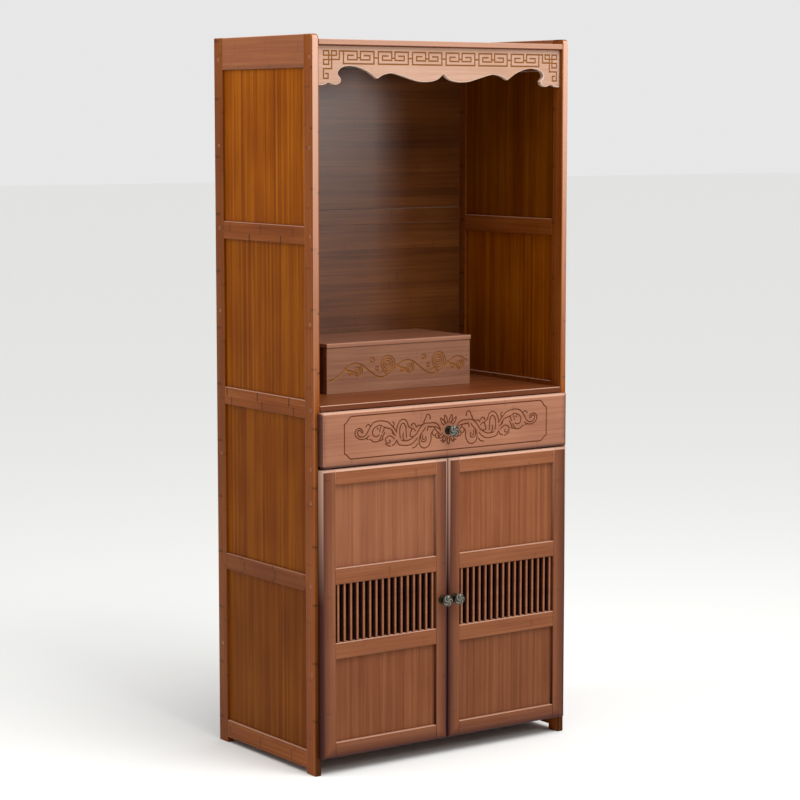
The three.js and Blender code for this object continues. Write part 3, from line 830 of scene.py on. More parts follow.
        ids = np.arange(rows * columns).reshape(rows, columns)
        j, i = np.nonzero(cells)
        corner = new_number[ids]
        quads = np.stack([corner[j, i], corner[j, i + 1], corner[j + 1, i + 1], corner[j + 1, i]], 1)
        faces = quads.tolist()
        edges = self.rim_edges(padded, ids)
        ring_number = np.full(count.size, -1)
        ring_number[rim] = np.arange(rim.size)
        first = new_number[edges]
        for k in range(len(rings)):
            second = used.size + k * rim.size + ring_number[edges]
            faces += np.stack([first[:, 0], second[:, 0], second[:, 1], first[:, 1]], 1).tolist()
            first = second
        last = used.size + (len(rings) - 1) * rim.size
        faces.append((last + np.argsort(order, kind="stable"))[::-1].tolist())

        points = np.concatenate([front, rings.reshape(-1, 3)])
        side_tone = np.where(at_side < 0, self.tones[0], 0) + np.where(at_side > 0, self.tones[1], 0)
        side_tone = side_tone + np.where(at_foot, self.tones[2], 0) + np.where(at_top, self.tones[3], 0)
        tone = np.concatenate([np.zeros(used.size), np.tile(side_tone, len(rings))])
        cut = np.concatenate([share[used], np.zeros(rings.shape[0] * rim.size)])
        shell.take(points, faces, tone, cut)

    def nearest(self, x: Array, z: Array) -> tuple[Array, Array, Array]:
        """The nearest places on the drawn-in outline, with their normals and distances along it."""
        line, normals = self.inner_edge(), normals_of(self.edge)
        start, run = line[:-1], np.diff(line, axis=0)
        here = np.stack([x, z], 1)[:, None, :]
        length_squared = np.maximum((run**2).sum(-1), 1e-9)
        along = np.clip(((here - start) * run).sum(-1) / length_squared, 0, 1)
        place = start + along[..., None] * run
        best = np.linalg.norm(here - place, axis=-1).argmin(1)
        row = np.arange(len(x))
        t = along[row, best][:, None]
        normal = normals[best] * (1 - t) + normals[best + 1] * t
        normal = normal / np.linalg.norm(normal, axis=1, keepdims=True)
        lengths = np.concatenate([[0], np.cumsum(np.sqrt(length_squared))])
        return place[row, best], normal, lengths[best] + t[:, 0] * np.sqrt(length_squared)[best]

    @staticmethod
    def rim_edges(padded: Array, ids: Array) -> Array:
        """Pairs of point numbers along the rim of the kept cells, anticlockwise seen from the front."""
        here = padded[1:-1, 1:-1]
        pairs = []
        for beside, first, second in (
            (padded[:-2, 1:-1], (0, 0), (0, 1)),
            (padded[1:-1, 2:], (0, 1), (1, 1)),
            (padded[2:, 1:-1], (1, 1), (1, 0)),
            (padded[1:-1, :-2], (1, 0), (0, 0)),
        ):
            j, i = np.nonzero(here & ~beside)
            pairs.append(np.stack([ids[j + first[0], i + first[1]], ids[j + second[0], i + second[1]]], 1))
        return np.concatenate(pairs)


# ---------------------------------------------------------------- sides, back, shelves


@dataclass
class Side:
    """One framed side: two stiles, five rails, four panels and the plugs over its screws.

    Shades run from the lowest rail or panel to the highest; the panels' shades are painted shade,
    darker towards the floor, and inner_shades paint shade and light on the panels' inner faces.
    Plugs are given by their levels.
    """

    hand: Hand
    rail_shades: tuple[float, ...] = (-0.05, -0.25, -0.05, -0.08, 0.1)
    panel_shades: tuple[float, ...] = (-0.42, -0.3, -0.16, 0.0)
    inner_shades: tuple[float, ...] = (-0.2, -0.1, 0.1, -0.4)
    stile_round: float = 9.0
    plug_radius: float = 3.2
    plug_stand: float = 0.15
    plug_inset: float = 13.0
    front_plugs: tuple[float, ...] = (1454, 1276, 1100, 924, 751, 631, 562, 392, 210)
    back_plugs: tuple[float, ...] = (1455, 1277, 1105, 930, 627, 215)

    def build(self) -> None:
        """Makes every piece of the side."""
        name = f"side_{self.hand.label}"
        facing = self.hand.facing
        upright = BoardMaker(SIDE_RAIL, "carcass", "bamboo_frame", facing, Grain.UPRIGHT)
        level = BoardMaker(SIDE_RAIL, "carcass", "bamboo_frame", facing, Grain.DEEP)
        panel = BoardMaker(SIDE_PANEL, "carcass", "bamboo_panel", facing, Grain.UPRIGHT)
        r = self.stile_round
        if self.hand is Hand.LEFT:
            # In-plane axes are Z then Y, so the front is the second axis' low side.
            corners, front_side, top_side = (0.8, r, 0.8, 0.8), (0, 0, 0.85, 0), (0, 0.5, 0, 0)
        else:
            corners, front_side, top_side = (0.8, 0.8, 0.8, r), (0.85, 0, 0, 0), (0, 0, 0, 0.5)
        # The front stile's front face has a painted highlight that turns into painted shade towards the
        # foot, and painted shade on its rounding behind; the rails have a painted highlight along their
        # tops.
        front_edges = Edges(face=(1.2,) * 4, corners=corners, back=2.5)
        front_look = {"tones": front_side, "edge_highlight": 0.3, "back_tone": -0.6, "climb": 2.0}
        upright.make(f"{name}_stile_front", front_edges, trim=self.trim(), **front_look)
        upright.make(f"{name}_stile_back", eased(1.2), trim=self.trim(), shade=-0.25)
        self.plugs(name)
        for number, shade in enumerate(self.rail_shades, 1):
            level.make(f"{name}_rail_{number}", eased(0.9), shade=shade, tones=top_side)
        # Lower panels are darker as painted shade; the inner faces take painted shade, and painted light
        # where their value is above 0.
        for number, (shade, inner) in enumerate(zip(self.panel_shades, self.inner_shades), 1):
            panel.make(f"{name}_panel_{number}", eased(0.4), shade=shade, back_shade=inner)

    def trim(self) -> tuple[Array, Array]:
        """How far a stile's low and high corners move in, so that its plugs stand proud of it."""
        sunk = np.array([self.plug_stand, 0, 0])
        return (sunk, 0 * sunk) if self.hand is Hand.LEFT else (0 * sunk, -sunk)

    def plugs(self, name: str) -> None:
        """Makes the turned plugs: each is a low dome with a dark eye and a pale rim of end grain.

        Args:
            name: The side's name.
        """
        shell = Shell()
        angles = np.linspace(0, 2 * math.pi, 20, endpoint=False)
        reach = np.array([0.02, 0.4, 0.62, 0.9, 1.0, 1.0])
        out = np.array([0.0, 0.02, 0.02, 0.03, 0.12, 0.6])
        tone = np.repeat([-1.0, -1.0, 0.3, 0.6, 0.3, -0.5], angles.size)
        faces = tube_faces(reach.size, angles.size)
        if self.hand is Hand.LEFT:
            faces = [face[::-1] for face in faces]
        for part, levels in (("front", self.front_plugs), ("back", self.back_plugs)):
            low, high = node_box(f"{name}_stile_{part}")
            surface = low[0] if self.hand is Hand.LEFT else high[0]
            centre_y = low[1] + self.plug_inset if part == "front" else (low[1] + high[1]) / 2
            for level in levels:
                x = surface - self.hand.value * out[:, None] + 0 * angles
                y = centre_y + self.plug_radius * reach[:, None] * np.cos(angles)
                z = level + self.plug_radius * reach[:, None] * np.sin(angles)
                shell.take(np.stack([x, y, z], -1).reshape(-1, 3), faces, tone)
        make_piece(f"{name}_plugs", shell, SIDE_RAIL, Ride("carcass", "bamboo_frame"), Grain.DEEP, 0)


@dataclass
class Back:
    """The framed back: four rails and three panels, with strips running across."""

    def build(self) -> None:
        """Makes every piece of the back."""
        maker = BoardMaker(BACK_WOOD, "carcass", "bamboo_frame")
        for part in ("bottom", "sill", "middle", "top"):
            maker.make(f"back_rail_{part}", Edges(face=(0.9,) * 4))
        panel = BoardMaker(BACK_WOOD, "carcass", "bamboo_panel")
        for part in ("lower", "middle", "upper"):
            panel.make(f"back_panel_{part}", eased(0.4))


@dataclass
class Shelves:
    """Top board, drawer shelf and cupboard floor."""

    def build(self) -> None:
        """Makes the level boards."""
        top = BoardMaker(SHELF_WOOD, "carcass", "bamboo_frame", Facing.UP)
        edges = Edges(face=(0.8, 0.8, 1.5, 0.8), back=1.6)
        # Painted highlight on the top board's front edge and painted shadow on its rounding underneath.
        top.make("top_board", edges, tones=(0, 0, 0.45, 0), back_tone=-1.0)
        # Painted shade on the deck's front face and painted highlight on its upper edges.
        top.make("altar_deck", Edges(face=(0.8, 0.8, 2.0, 0.8)), tones=(0, 0, -0.4, 0), edge_highlight=1.0)
        inner = BoardMaker(BACK_WOOD, "carcass", "bamboo_frame", Facing.UP)
        inner.make("drawer_shelf")
        inner.make("cupboard_floor")


# ---------------------------------------------------------------- valance


@dataclass
class Valance:
    """The scalloped board under the top, engraved with a key fret.

    rows: How far the fret's four lines lie below fret_top.
    shift: How far the pattern sits right of the middle.
    notches: Where the grid needs a column of its own, from the pattern's middle.
    """

    radius: float = 1.5
    cutter: Cutter = Cutter(3.2, 0.6, 1.1, square=True)
    fret_top: float = 1467.0
    rows: tuple[float, ...] = (0, 8.5, 17, 25)
    unit: float = 74.0
    pitch: float = 84.8
    units: int = 6
    corner_x: float = 297.0
    step: float = 1.1
    shift: float = 4.0
    notches: tuple[float, ...] = (0.0, 165.7, -165.7)

    def half_edge(self) -> Array:
        """Right half of the scalloped edge, as (x, z) from the middle notch outwards."""
        wave = [
            (0, 1425.3), (6, 1419.5), (14, 1413.6), (26, 1409.6), (46, 1407.5), (66, 1409.2),
            (88, 1414.8), (111, 1421), (126, 1424), (137, 1424), (154, 1419.6), (165.7, 1413),
        ]
        arch = [
            (165.7, 1413), (177, 1420.4), (190, 1427.8), (208, 1434.4), (225, 1437.8),
            (240, 1437.6), (253, 1433.8), (261, 1427), (261.5, 1419.5), (254.5, 1412.5),
        ]
        lobe = [(254.5, 1412.5), (256, 1405.5), (262, 1401.5), (270, 1400.5), (285, 1405.5)]
        tail = [(285, 1405.5), (291, 1401.6), (299, 1399.6), (309.7, 1399.5)]
        parts = [through(part, 6) for part in (wave, arch, lobe, tail)]
        return np.vstack([parts[0], *[part[1:] for part in parts[1:]]])

    def key_unit(self, left: float) -> list[Array]:
        """One key: a line that coils in at both ends, with a short bar between its coils."""
        top, upper, lower, bottom = (self.fret_top - row for row in self.rows)
        half = [(23.5, upper), (10, upper), (10, lower), (33, lower), (33, top), (0, top), (0, bottom)]
        right = [(self.unit - x, z) for x, z in reversed(half)]
        middle = (upper + lower) / 2
        lines = [np.array(half + right), np.array([(33, middle), (self.unit - 33, middle)])]
        return [line + [left, 0] for line in lines]

    def corner_fret(self, first_key: float) -> Array:
        """The fret at the left end: it leaves the first key and turns down in two right-angled coils."""
        drops = [
            (first_key + self.corner_x, 0), (38, 0), (38, 17), (19.5, 17), (19.5, 0), (31, 0), (31, 9),
            (0, 9), (0, 0), (12.5, 0), (12.5, 27), (0, 27), (0, 17.5), (19.5, 17.5), (19.5, 35.5),
            (0, 35.5), (0, 54.5), (11, 54.5), (11, 45), (5, 45),
        ]
        return np.array([(x - self.corner_x, self.fret_top - drop) for x, drop in drops])

    def fret(self) -> list[Array]:
        """Every line of the fret."""
        first = -(self.pitch * (self.units - 1) + self.unit) / 2
        bar = self.fret_top - (self.rows[1] + self.rows[2]) / 2
        lines = []
        for number in range(self.units):
            left = first + number * self.pitch
            lines += self.key_unit(left)
            if number:
                lines.append(np.array([(left - self.pitch + self.unit, bar), (left, bar)]))
        corner = self.corner_fret(first)
        return [*lines, corner, corner * [-1, 1]]

    def build(self) -> None:
        """Makes the valance on a grid whose lines follow the walls of the fret."""
        low, high = node_box("valance")
        right = self.half_edge()
        edge = np.vstack([(right * [-1, 1])[::-1][:-1], right]) + [self.shift, 0]
        edge = edge[np.abs(edge[:, 0]) < high[0] - 1]
        edge = np.vstack([[low[0], edge[0, 1]], edge, [high[0], edge[-1, 1]]])
        edge[:, 1] += low[2] - edge[:, 1].min()
        lines = [line + [self.shift, 0] for line in self.fret()]
        corners = np.vstack(lines)
        half = self.cutter.width / 2
        walls = np.array([-half, -half + self.cutter.wall, half - self.cutter.wall, half])
        wanted_x = (np.unique(corners[:, 0].round(3))[:, None] + walls).ravel()
        wanted_z = (np.unique(corners[:, 1].round(3))[:, None] + walls).ravel()
        wanted_x = [*wanted_x, *(self.shift + notch for notch in self.notches)]
        xs = stops(low[0] + self.radius, high[0] - self.radius, wanted_x, self.step)
        zs = stops(low[2] + self.radius * 0.5, high[2] - self.radius, [*wanted_z], self.step)
        share = self.cutter.share(xs, zs, lines)
        # Painted highlight on the rounded edges, strongest along the scalloped foot.
        tones = (0.3, 0.3, 0.7, 0)
        board = CarvedBoard(low, high, self.radius, xs, zs, share, self.cutter.depth, edge, tones)
        board.make("valance_board", VALANCE_WOOD, Ride("carcass", "bamboo_pale", ("valance",)))


# ---------------------------------------------------------------- riser


@dataclass
class Riser:
    """The stepped stand inside the niche: a carved front, two ends and a moulded top."""

    period: float = 134.0
    crest_x: float = 20.0
    middle_z: float = 807.0
    height: float = 16.5
    margin: float = 7.0
    stem_half: float = 2.1
    radius: float = 0.9
    step: float = 0.85
    cutter: Cutter = Cutter(4.0, 1.5, 1.1)

    def vine(self, half: float) -> list[Array]:
        """A running vine: a double stem in a cosine wave, with scrolls above its troughs, curls
        under its crests and small leaves between."""
        x = np.linspace(-half, half, 140)
        wave = self.height * np.cos(2 * np.pi * (x - self.crest_x) / self.period)
        stem = np.stack([x, self.middle_z + wave], 1)
        aside = normals_of(stem) * self.stem_half
        lines = [stem + aside, stem - aside]
        z = self.middle_z
        for turn in range(-2, 3):
            crest = self.crest_x + turn * self.period
            trough = crest - self.period / 2
            lines += [
                scroll((trough + 14.5, z + 8.5), (20, 2.5), (-45, 1100)),
                through([(crest - 27, z + 5), (crest - 17, z - 1), (crest - 6.5, z - 3)]),
                scroll((crest + 5.5, z - 3), (12, 2.5), (60, -700)),
                scroll((crest - 14.5, z - 6), (6, 1.8), (100, -330)),
                scroll((crest + 43, z + 18), (5.5, 4), (200, -140)),
                scroll((trough - 12, z + 1), (5.5, 1.8), (300, -60)),
                through([(trough - 6, z - 11), (trough + 4, z - 7), (trough + 12, z - 12)]),
            ]
        return [line for line in lines if np.abs(line[:, 0]).max() <= half + 0.01]

    def build(self) -> None:
        """Makes the four boards of the riser."""
        low, high = node_box("riser_front")
        deck = node_box("altar_deck")[1][2] + 0.05
        low[2] = deck
        half, r = high[0] - self.margin, self.radius
        xs = stops(low[0] + r, high[0] - r, [-half, half], self.step)
        zs = stops(low[2] + r, high[2] - r, [self.middle_z - 24, self.middle_z + 26], self.step)
        share = self.cutter.share(xs, zs, self.vine(half))
        board = CarvedBoard(low, high, r, xs, zs, share, self.cutter.depth)
        board.make("riser_front_board", RISER_WOOD, Ride("carcass", "bamboo_pale", ("riser_front",)))

        for hand in Hand:
            node = f"riser_end_{hand.label}"
            low, high = node_box(node)
            low[2] = deck
            shell = Shell()
            board_shell(shell, low, high, hand.facing)
            ride = Ride("carcass", "bamboo_frame", (node,))
            make_piece(node + "_board", shell, BACK_WOOD, ride, Grain.DEEP, 0)
        top = BoardMaker(SHELF_WOOD, "carcass", "bamboo_frame", Facing.UP)
        # A faint painted highlight on the top's front edge and ends.
        top.make("riser_top", Edges(face=(2, 2, 3.0, 0.8), back=2.0), tones=(0.1, 0.1, 0.1, 0), shade=0.12)


# ---------------------------------------------------------------- knobs


@dataclass
class Knob:
    """A cast knob on a stem, its head raised in a swirl."""

    node: str
    body: str
    around: int = 96
    swirls: int = 5
    twist: float = 9.0
    relief: float = 0.4
    boss_height: float = 0.3

    def build(self) -> None:
        """Makes the knob as a surface of revolution.

        The profile gives radius and reach; on the head a wave sin(swirls * angle + twist *
        radius share) pushes the surface in and out by the relief, faded at the rim and the middle.
        """
        low, high = node_box(self.node)
        radius, reach = (high[0] - low[0]) / 2, high[1] - low[1]
        profile = through([
            (0.02, 0), (0.5, 0), (0.75, 0.01), (0.76, 0.06), (0.55, 0.13), (0.42, 0.25), (0.42, 0.45),
            (0.62, 0.58), (0.9, 0.68), (1.0, 0.76), (0.99, 0.84), (0.86, 0.91), (0.6, 0.955),
            (0.3, 0.975), (0.02, 0.98),
        ], 5)
        turn = np.linspace(0, 2 * math.pi, self.around, endpoint=False)
        r, out = profile[:, :1], profile[:, 1:]
        on_head = np.clip((out - 0.8) / 0.1, 0, 1) * np.clip(r / 0.25, 0, 1) * np.clip((1 - r) / 0.1, 0, 1)
        wave = np.sin(self.swirls * turn + self.twist * r) * on_head
        boss = np.exp(-((r / 0.16) ** 2)) * np.clip((out - 0.9) / 0.05, 0, 1)
        lift = self.relief * (wave - on_head) + self.boss_height * boss
        ring_x = (low[0] + high[0]) / 2 + radius * r * np.cos(turn)
        ring_z = (low[2] + high[2]) / 2 + radius * r * np.sin(turn)
        ring_y = high[1] - reach * out - lift + 0 * turn
        points = np.stack([ring_x, ring_y, ring_z], -1)
        faces = [face[::-1] for face in tube_faces(len(profile), self.around)]
        # Ridges rubbed bright and hollows darker as patina; the stem and base plate under the head are
        # darkened as painted shadow.
        tone = 0.25 + 0.4 * wave * on_head + 0.3 * boss - 0.9 * (out < 0.6)
        shell = Shell()
        shell.take(points.reshape(-1, 3), faces, np.broadcast_to(tone, wave.shape).ravel())
        ride = Ride(self.body, "aged_bronze", (self.node,))
        make_piece(self.node + "_casting", shell, KNOB_METAL, ride, Grain.ACROSS, 1)


# ---------------------------------------------------------------- drawer


@dataclass
class Drawer:
    """The drawer: a carved and rounded front on a plain box.

    border: Half the width of the engraved frame; border_low and border_high are its levels.
    """

    radius: float = 5.0
    step: float = 0.85
    border: float = 261.0
    border_low: float = 649.0
    border_high: float = 736.0
    cutter: Cutter = Cutter(3.0, 1.0, 1.0)

    def border_lines(self) -> list[Array]:
        """The engraved frame: straight runs joined by a stepped hollow at each corner."""
        w, low, high = self.border, self.border_low, self.border_high
        steps = ((-18, 0), (-12, -3), (-9, -7.5), (-6, -11.5), (0, -15))
        upper = [(w + x, high + z) for x, z in steps]
        lower = [(w - 16, low), (w - 12, low + 2), (w - 7, low + 7.5), (w, low + 12)]
        runs = [np.array([upper[-1], lower[-1]]), through(upper, 5), through(lower, 5)]
        level = [np.array([(x, z), (-x, z)]) for x, z in (upper[0], lower[0])]
        return [*level, *runs, *[line * [-1, 1] for line in runs]]

    def scrollwork(self) -> list[Array]:
        """The scrollwork, as (x, z): each line of the right half is mirrored to the left."""
        stems = [
            [(201, 693), (207, 689), (218, 687), (228, 690), (234, 696), (235, 702), (232, 707.5),
             (227, 710), (220.5, 709), (216.6, 705), (216, 700)],
            [(132, 696), (141, 707.5), (152, 717), (164, 721), (176, 722), (187.5, 720), (194.6, 714.6),
             (201, 706.6), (204, 701), (209, 695), (217, 692), (225, 694), (228.6, 699.5), (227.7, 705),
             (222, 705.5), (219, 701)],
            [(101.8, 704.8), (105.4, 714.6), (110.7, 720), (118, 721), (125, 716.4), (130.4, 707.5),
             (132, 698.6)],
            [(107, 682.5), (108, 695), (109, 705.7), (114.3, 713), (119.6, 711), (123.2, 704),
             (124, 693), (122.3, 682.5)],
            [(30, 706), (39, 708.4), (46, 708.4), (60.7, 708.4), (69.6, 703), (76.8, 695), (82, 688),
             (89.3, 682.5), (100, 677), (110.7, 676), (119.6, 678)],
            [(80.4, 679), (85.7, 673.6), (94.6, 668), (101.8, 666.4), (110.7, 666.4), (125, 669),
             (128.6, 673.6), (132, 679)],
            [(59, 700), (62.5, 695), (67.9, 689.6), (73, 682.5), (75, 673.6), (72, 663), (63, 657.5),
             (52.5, 660), (47, 668), (44.6, 675), (44.6, 682.5), (43, 689.6)],
            [(138, 692), (145, 702), (155, 706), (165, 709)],
            [(20, 691), (27, 697), (36, 700), (46, 700), (53.6, 702)],
            [(43.6, 709), (33, 707.5), (25.7, 702), (20.4, 695)],
        ]
        curls = [
            [(168, 711), (174, 713), (182, 711), (187.5, 708.4), (191, 703), (192, 698.6), (190, 693),
             (186, 690.5), (178.6, 690.5), (176, 693)],
            [(137.5, 682.5), (143, 687), (150, 689.6), (157, 687), (160, 682.5), (157, 676),
             (151.8, 674.5), (148, 677), (150, 681)],
            [(46, 718), (48, 724.5), (53.6, 727), (57, 723.6), (59, 718), (63.4, 712)],
            [(54, 693), (52.5, 698.6), (45.4, 701), (36.4, 698.6), (31, 691.4), (25.7, 688)],
            [(101.8, 704.8), (96.4, 702), (94.6, 697), (97.3, 691.4), (98, 686), (94.6, 683.4),
             (89.3, 683.4)],
            [(71, 688), (71, 679), (68.6, 672), (59.6, 671), (57, 676), (59, 681)],
            [(36, 694), (41, 690), (40, 684), (36, 682)],
        ]
        leaves = [
            [(161.6, 707.5), (164, 704), (167, 697.7)], [(171.4, 709), (174, 703), (174, 699.5)],
            [(161.6, 697.7), (165, 691.4), (168, 683.4)], [(169.6, 691.4), (173, 685), (176, 682.5)],
            [(166, 683), (178.6, 680), (189, 680), (194, 683.4), (199, 686)],
            [(203.6, 686), (206, 687.5), (209, 688)], [(61.4, 716.4), (63, 709), (68.6, 706.6)],
            [(11, 668), (15, 671), (20, 669)], [(82, 704), (88, 711), (94, 709)],
            [(84, 695), (90, 700), (95, 697)], [(132, 679), (136, 672), (143, 669)],
            [(66, 685), (66, 677), (61.5, 675)], [(144, 701), (141, 693), (134, 689)],
            [(112, 677), (116, 684), (115, 692)], [(196, 712), (203, 716.5), (209, 712)],
            [(78, 668), (84, 662), (92, 660)], [(70, 704), (76, 706), (82, 702)],
            [(148, 668), (154, 670), (160, 674)], [(140, 708), (138, 714), (142, 718)],
        ]
        lines = [through(path, 5) for path in (*stems, *curls, *leaves)]
        lines.append(scroll((28, 680), (7, 2), (150, -270)))
        lines += [scroll(dot, (1.0, 0.6), (0, 400)) for dot in ((179.5, 706.6), (47, 718), (94, 707))]
        return [*lines, *[line * [-1, 1] for line in lines]]

    def rays(self) -> list[Array]:
        """Petals that stand round the knob: each goes out and back along a pointed leaf."""
        lines = []
        for degrees in (52, 74, 106, 128, 212, 240, 270, 300, 328):
            a = np.radians(degrees)
            turn = np.array([[np.cos(a), np.sin(a)], [-np.sin(a), np.cos(a)]])
            reach = 33 if degrees < 180 else 29
            leaf = np.array([(15, -2.2), (23, -3.4), (reach, 0), (23, 3.4), (15, 2.2)])
            lines.append(through(leaf @ turn, 5))
        return lines

    def build(self) -> None:
        """Makes the front, the box boards and the knob."""
        low, high = node_box("drawer_front")
        middle = (low[2] + high[2]) / 2
        r, reach = self.radius, self.border + 2
        xs = stops(low[0] + r, high[0] - r, [-reach, reach], self.step)
        outer = np.abs(xs) > reach
        xs = xs[~outer | (np.arange(xs.size) % 4 == 0)]
        xs = np.unique(np.concatenate([xs, [low[0] + r, high[0] - r]]))
        zs = stops(low[2] + r, high[2] - r, [], self.step)
        rays = [line + [0, middle] for line in self.rays()]
        lines = [*self.border_lines(), *self.scrollwork(), *rays]
        share = self.cutter.share(xs, zs, lines)
        # Painted shade on the rounded sides and foot and painted highlight along the top; the rim darkens
        # the front towards its sides and foot as painted shade.
        tones = (-0.4, -0.5, -0.4, 0.6)
        ride = Ride("drawer", "bamboo_face", ("drawer_front",), (low[0], high[0], low[2]))
        board = CarvedBoard(low, high, r, xs, zs, share, self.cutter.depth, None, tones)
        board.make("drawer_front_board", DRAWER_FACE, ride)

        for hand in Hand:
            side = BoardMaker(BOX_WOOD, "drawer", "bamboo_box", hand.facing, Grain.DEEP)
            side.make(f"drawer_side_{hand.label}")
        BoardMaker(BOX_WOOD, "drawer", "bamboo_box").make("drawer_back")
        floor = BoardMaker(BOX_WOOD, "drawer", "bamboo_box", Facing.UP)
        floor.make("drawer_bottom", eased(0.4))
        Knob("drawer_knob", "drawer").build()


# ---------------------------------------------------------------- doors


@dataclass
class Door:
    """One door: a rounded frame, two panels, a grille of slats between them, and a knob."""

    hand: Hand
    radius: float = 5.0
    slats: int = 16
    slat_width: float = 5.6
    slat_thick: float = 8.0
    slat_tenon: float = 1.0
    grille_rail: float = 33.0
    # Lower panels are darker as painted shade.
    panel_shades: ClassVar[dict[Hand, dict[str, float]]] = {
        Hand.LEFT: {"upper": 0.05, "lower": -0.26},
        Hand.RIGHT: {"upper": -0.06, "lower": -0.34},
    }

    def build(self) -> None:
        """Makes every piece of the door."""
        name = f"door_{self.hand.label}"
        r = self.radius
        sides = [node_box(f"{name}_stile_{part}") for part in ("hung", "closing")]
        left, right = min(low[0] for low, _ in sides), max(high[0] for _, high in sides)
        # The frame darkens towards the door's outer edges and foot as painted shade.
        rim = (left, right, sides[0][0][2])
        stile = BoardMaker(DOOR_FRAME, name, "bamboo_face", Facing.FRONT, Grain.UPRIGHT, rim)
        rail = BoardMaker(DOOR_FRAME, name, "bamboo_face", rim=rim)
        panel = BoardMaker(DOOR_PANEL, name, "bamboo_panel", Facing.FRONT, Grain.UPRIGHT)
        for part, outer_sign in (("hung", self.hand.value), ("closing", -self.hand.value)):
            outer_low = outer_sign < 0
            # Painted shade on each stile's outer rounding and on its side in the panel's recess, painted
            # highlight along its top.
            face = (r, 0.5, r, r) if outer_low else (0.5, r, r, r)
            side = (-0.55, -0.9, 0, 0.7) if outer_low else (-0.9, -0.55, 0, 0.7)
            stile.make(f"{name}_stile_{part}", Edges(face=face), tones=side, edge_highlight=0.0, shade=-0.12)
        # Painted shadow under each rail and painted highlight along its top; the bottom rail is also darker
        # all over as painted shade.
        rail.make(f"{name}_rail_top", Edges(face=(0.5, 0.5, 0.8, r)), tones=(0, 0, -0.5, 0.6))
        rail.make(f"{name}_rail_bottom", Edges(face=(0.5, 0.5, r, 0.8)), tones=(0, 0, -0.4, 0.6), shade=-0.2)
        for part, shade in self.panel_shades[self.hand].items():
            panel.make(f"{name}_panel_{part}", eased(0.3), shade=shade)
        self.grille(f"{name}_grille", name, rail)
        Knob(f"{name}_knob", name).build()

    def grille(self, node: str, body: str, rail: BoardMaker) -> None:
        """Makes the two cross rails and the upright slats as one piece.

        Args:
            node: The grille's node.
            body: The door's body.
            rail: The frame's board maker, whose slot name is passed on.
        """
        low, high = node_box(node)
        foot, head = low[2] + self.grille_rail, high[2] - self.grille_rail
        shell = Shell()
        edges = Edges(face=(0.5, 0.5, 0.8, 0.8))
        for bottom, top in ((low[2], foot), (head, high[2])):
            ends = np.array([low[0], low[1], bottom]), np.array([high[0], high[1], top])
            # Painted shadow under each grille rail and painted highlight along its top.
            board_shell(shell, *ends, Facing.FRONT, edges, tones=(0, 0, -0.5, 0.6), shade=-0.08)
        pitch = (high[0] - low[0]) / self.slats
        middle_y = (low[1] + high[1]) / 2
        half = np.array([self.slat_width, self.slat_thick]) / 2
        slim = Edges(face=(1.2, 1.2, 0.5, 0.5), corners=(0.5,) * 4)
        # Painted shade on the slats' sides and painted highlight on their front rounding.
        look = {"tones": (-0.95, -0.95, 0, 0), "edge_highlight": 0.65, "shade": 0.1}
        for number in range(self.slats):
            x = low[0] + (number + 0.5) * pitch
            start = np.array([x - half[0], middle_y - half[1], foot - self.slat_tenon])
            end = np.array([x + half[0], middle_y + half[1], head + self.slat_tenon])
            board_shell(shell, start, end, Facing.FRONT, slim, **look)
        ride = Ride(body, rail.slot, (node,))
        make_piece(node + "_slats", shell, DOOR_FRAME, ride, Grain.ACROSS, 1)

# ---------------------------------------------------------------- studio


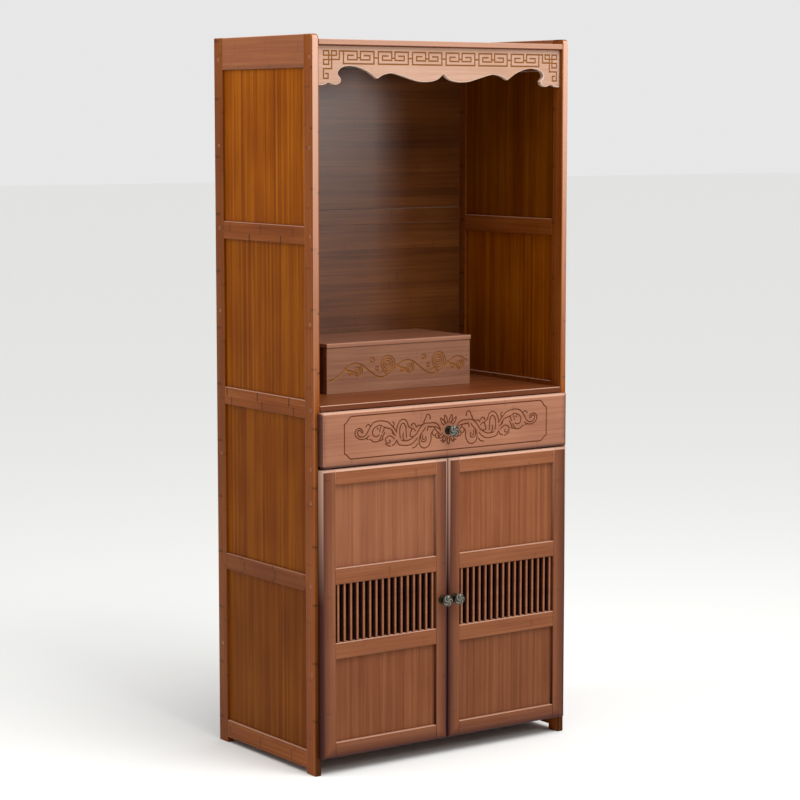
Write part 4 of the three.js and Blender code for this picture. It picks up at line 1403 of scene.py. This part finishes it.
@dataclass
class Studio:
    """A pale floor, soft lights and the camera."""

    place: tuple[float, float, float] = (-2.97738, -4.18727, 1.33231)
    pitch_down: float = 6.62
    yaw_right: float = 35.47
    lens: float = 108.91
    floor_half: float = 40.0
    room_light: float = 0.42
    backdrop: float = 0.8
    lamps: tuple[tuple, ...] = (
        ("key softbox", "AREA", (0.1, -1.9, 3.0), 1.4, 40),
        ("right softbox", "AREA", (1.47, -2.44, 1.47), 0.55, 13),
        ("skylight", "SUN", (0.5, -1.2, 3.7), 1.0, 1.6),
        ("left softbox", "AREA", (-1.3, 0.35, 2.5), 1.0, 16),
    )

    def build(self) -> None:
        """Sets the camera, the lights, the world and the floor."""
        camera_data = bpy.data.cameras.new("camera")
        camera_data.lens = self.lens
        camera_data.sensor_width = 36.0
        camera = bpy.data.objects.new("camera", camera_data)
        camera.location = self.place
        camera.rotation_euler = (math.radians(90 - self.pitch_down), 0, math.radians(-self.yaw_right))
        bpy.context.scene.collection.objects.link(camera)
        bpy.context.scene.camera = camera
        bpy.context.scene.view_settings.view_transform = "Standard"

        for lamp in self.lamps:
            self.light(*lamp)
        world = bpy.data.worlds.new("studio")
        bpy.context.scene.world = world
        world.use_nodes = True
        sky = world.node_tree.nodes["Background"]
        sky.inputs[0].default_value = linear("FFFFFF")
        # The backdrop is pale to the eye, while the room gives the wood a weaker, even light.
        path = add(world.node_tree, "LightPath")
        seen = ramp(world.node_tree, path, 0.0, 1.0, self.room_light, self.backdrop)
        world.node_tree.links.new(seen.outputs[0], sky.inputs[1])

        half = self.floor_half
        corners = [(-half, -half, 0), (half, -half, 0), (half, half, 0), (-half, half, 0)]
        mesh = bpy.data.meshes.new("floor")
        mesh.from_pydata(corners, [], [(0, 1, 2, 3)])
        paint = bpy.data.materials.new("matt_white_floor_paint")
        paint.use_nodes = True
        shader = paint.node_tree.nodes["Principled BSDF"]
        shader.inputs["Base Color"].default_value = linear("F2F2F0")
        shader.inputs["Roughness"].default_value = 0.9
        mesh.materials.append(paint)
        floor = bpy.data.objects.new("floor", mesh)
        bpy.context.scene.collection.objects.link(floor)

    @staticmethod
    def light(name: str, kind: str, place: tuple[float, ...], size: float, power: float) -> None:
        """Adds a soft light that looks at the middle of the cabinet.

        Args:
            name: The light's name.
            kind: "SUN" for an even light from one side, "AREA" for a square softbox.
            place: Where it hangs, in metres.
            size: A softbox's width in metres, or a sun's width in radians.
            power: Watts for a softbox, watts per square metre for a sun.
        """
        data = bpy.data.lights.new(name, kind)
        setattr(data, "angle" if kind == "SUN" else "size", size)
        data.energy = power
        lamp = bpy.data.objects.new(name, data)
        lamp.location = place
        towards = Vector(place) - Vector((0, 0, 0.8))
        lamp.rotation_euler = towards.to_track_quat("Z", "Y").to_euler()
        bpy.context.scene.collection.objects.link(lamp)


# ---------------------------------------------------------------- the whole cabinet


def main() -> None:
    """Builds the studio and every sub-assembly in order."""
    logging.basicConfig(level=logging.INFO, format="%(name)s: %(message)s")
    Studio().build()
    for assembly in (
        Side(Hand.LEFT), Side(Hand.RIGHT), Back(), Shelves(), Valance(), Riser(), Drawer(),
        Door(Hand.LEFT), Door(Hand.RIGHT),
    ):
        LOG.info("building %s", type(assembly).__name__)
        assembly.build()


if __name__ == "__main__":
    main()
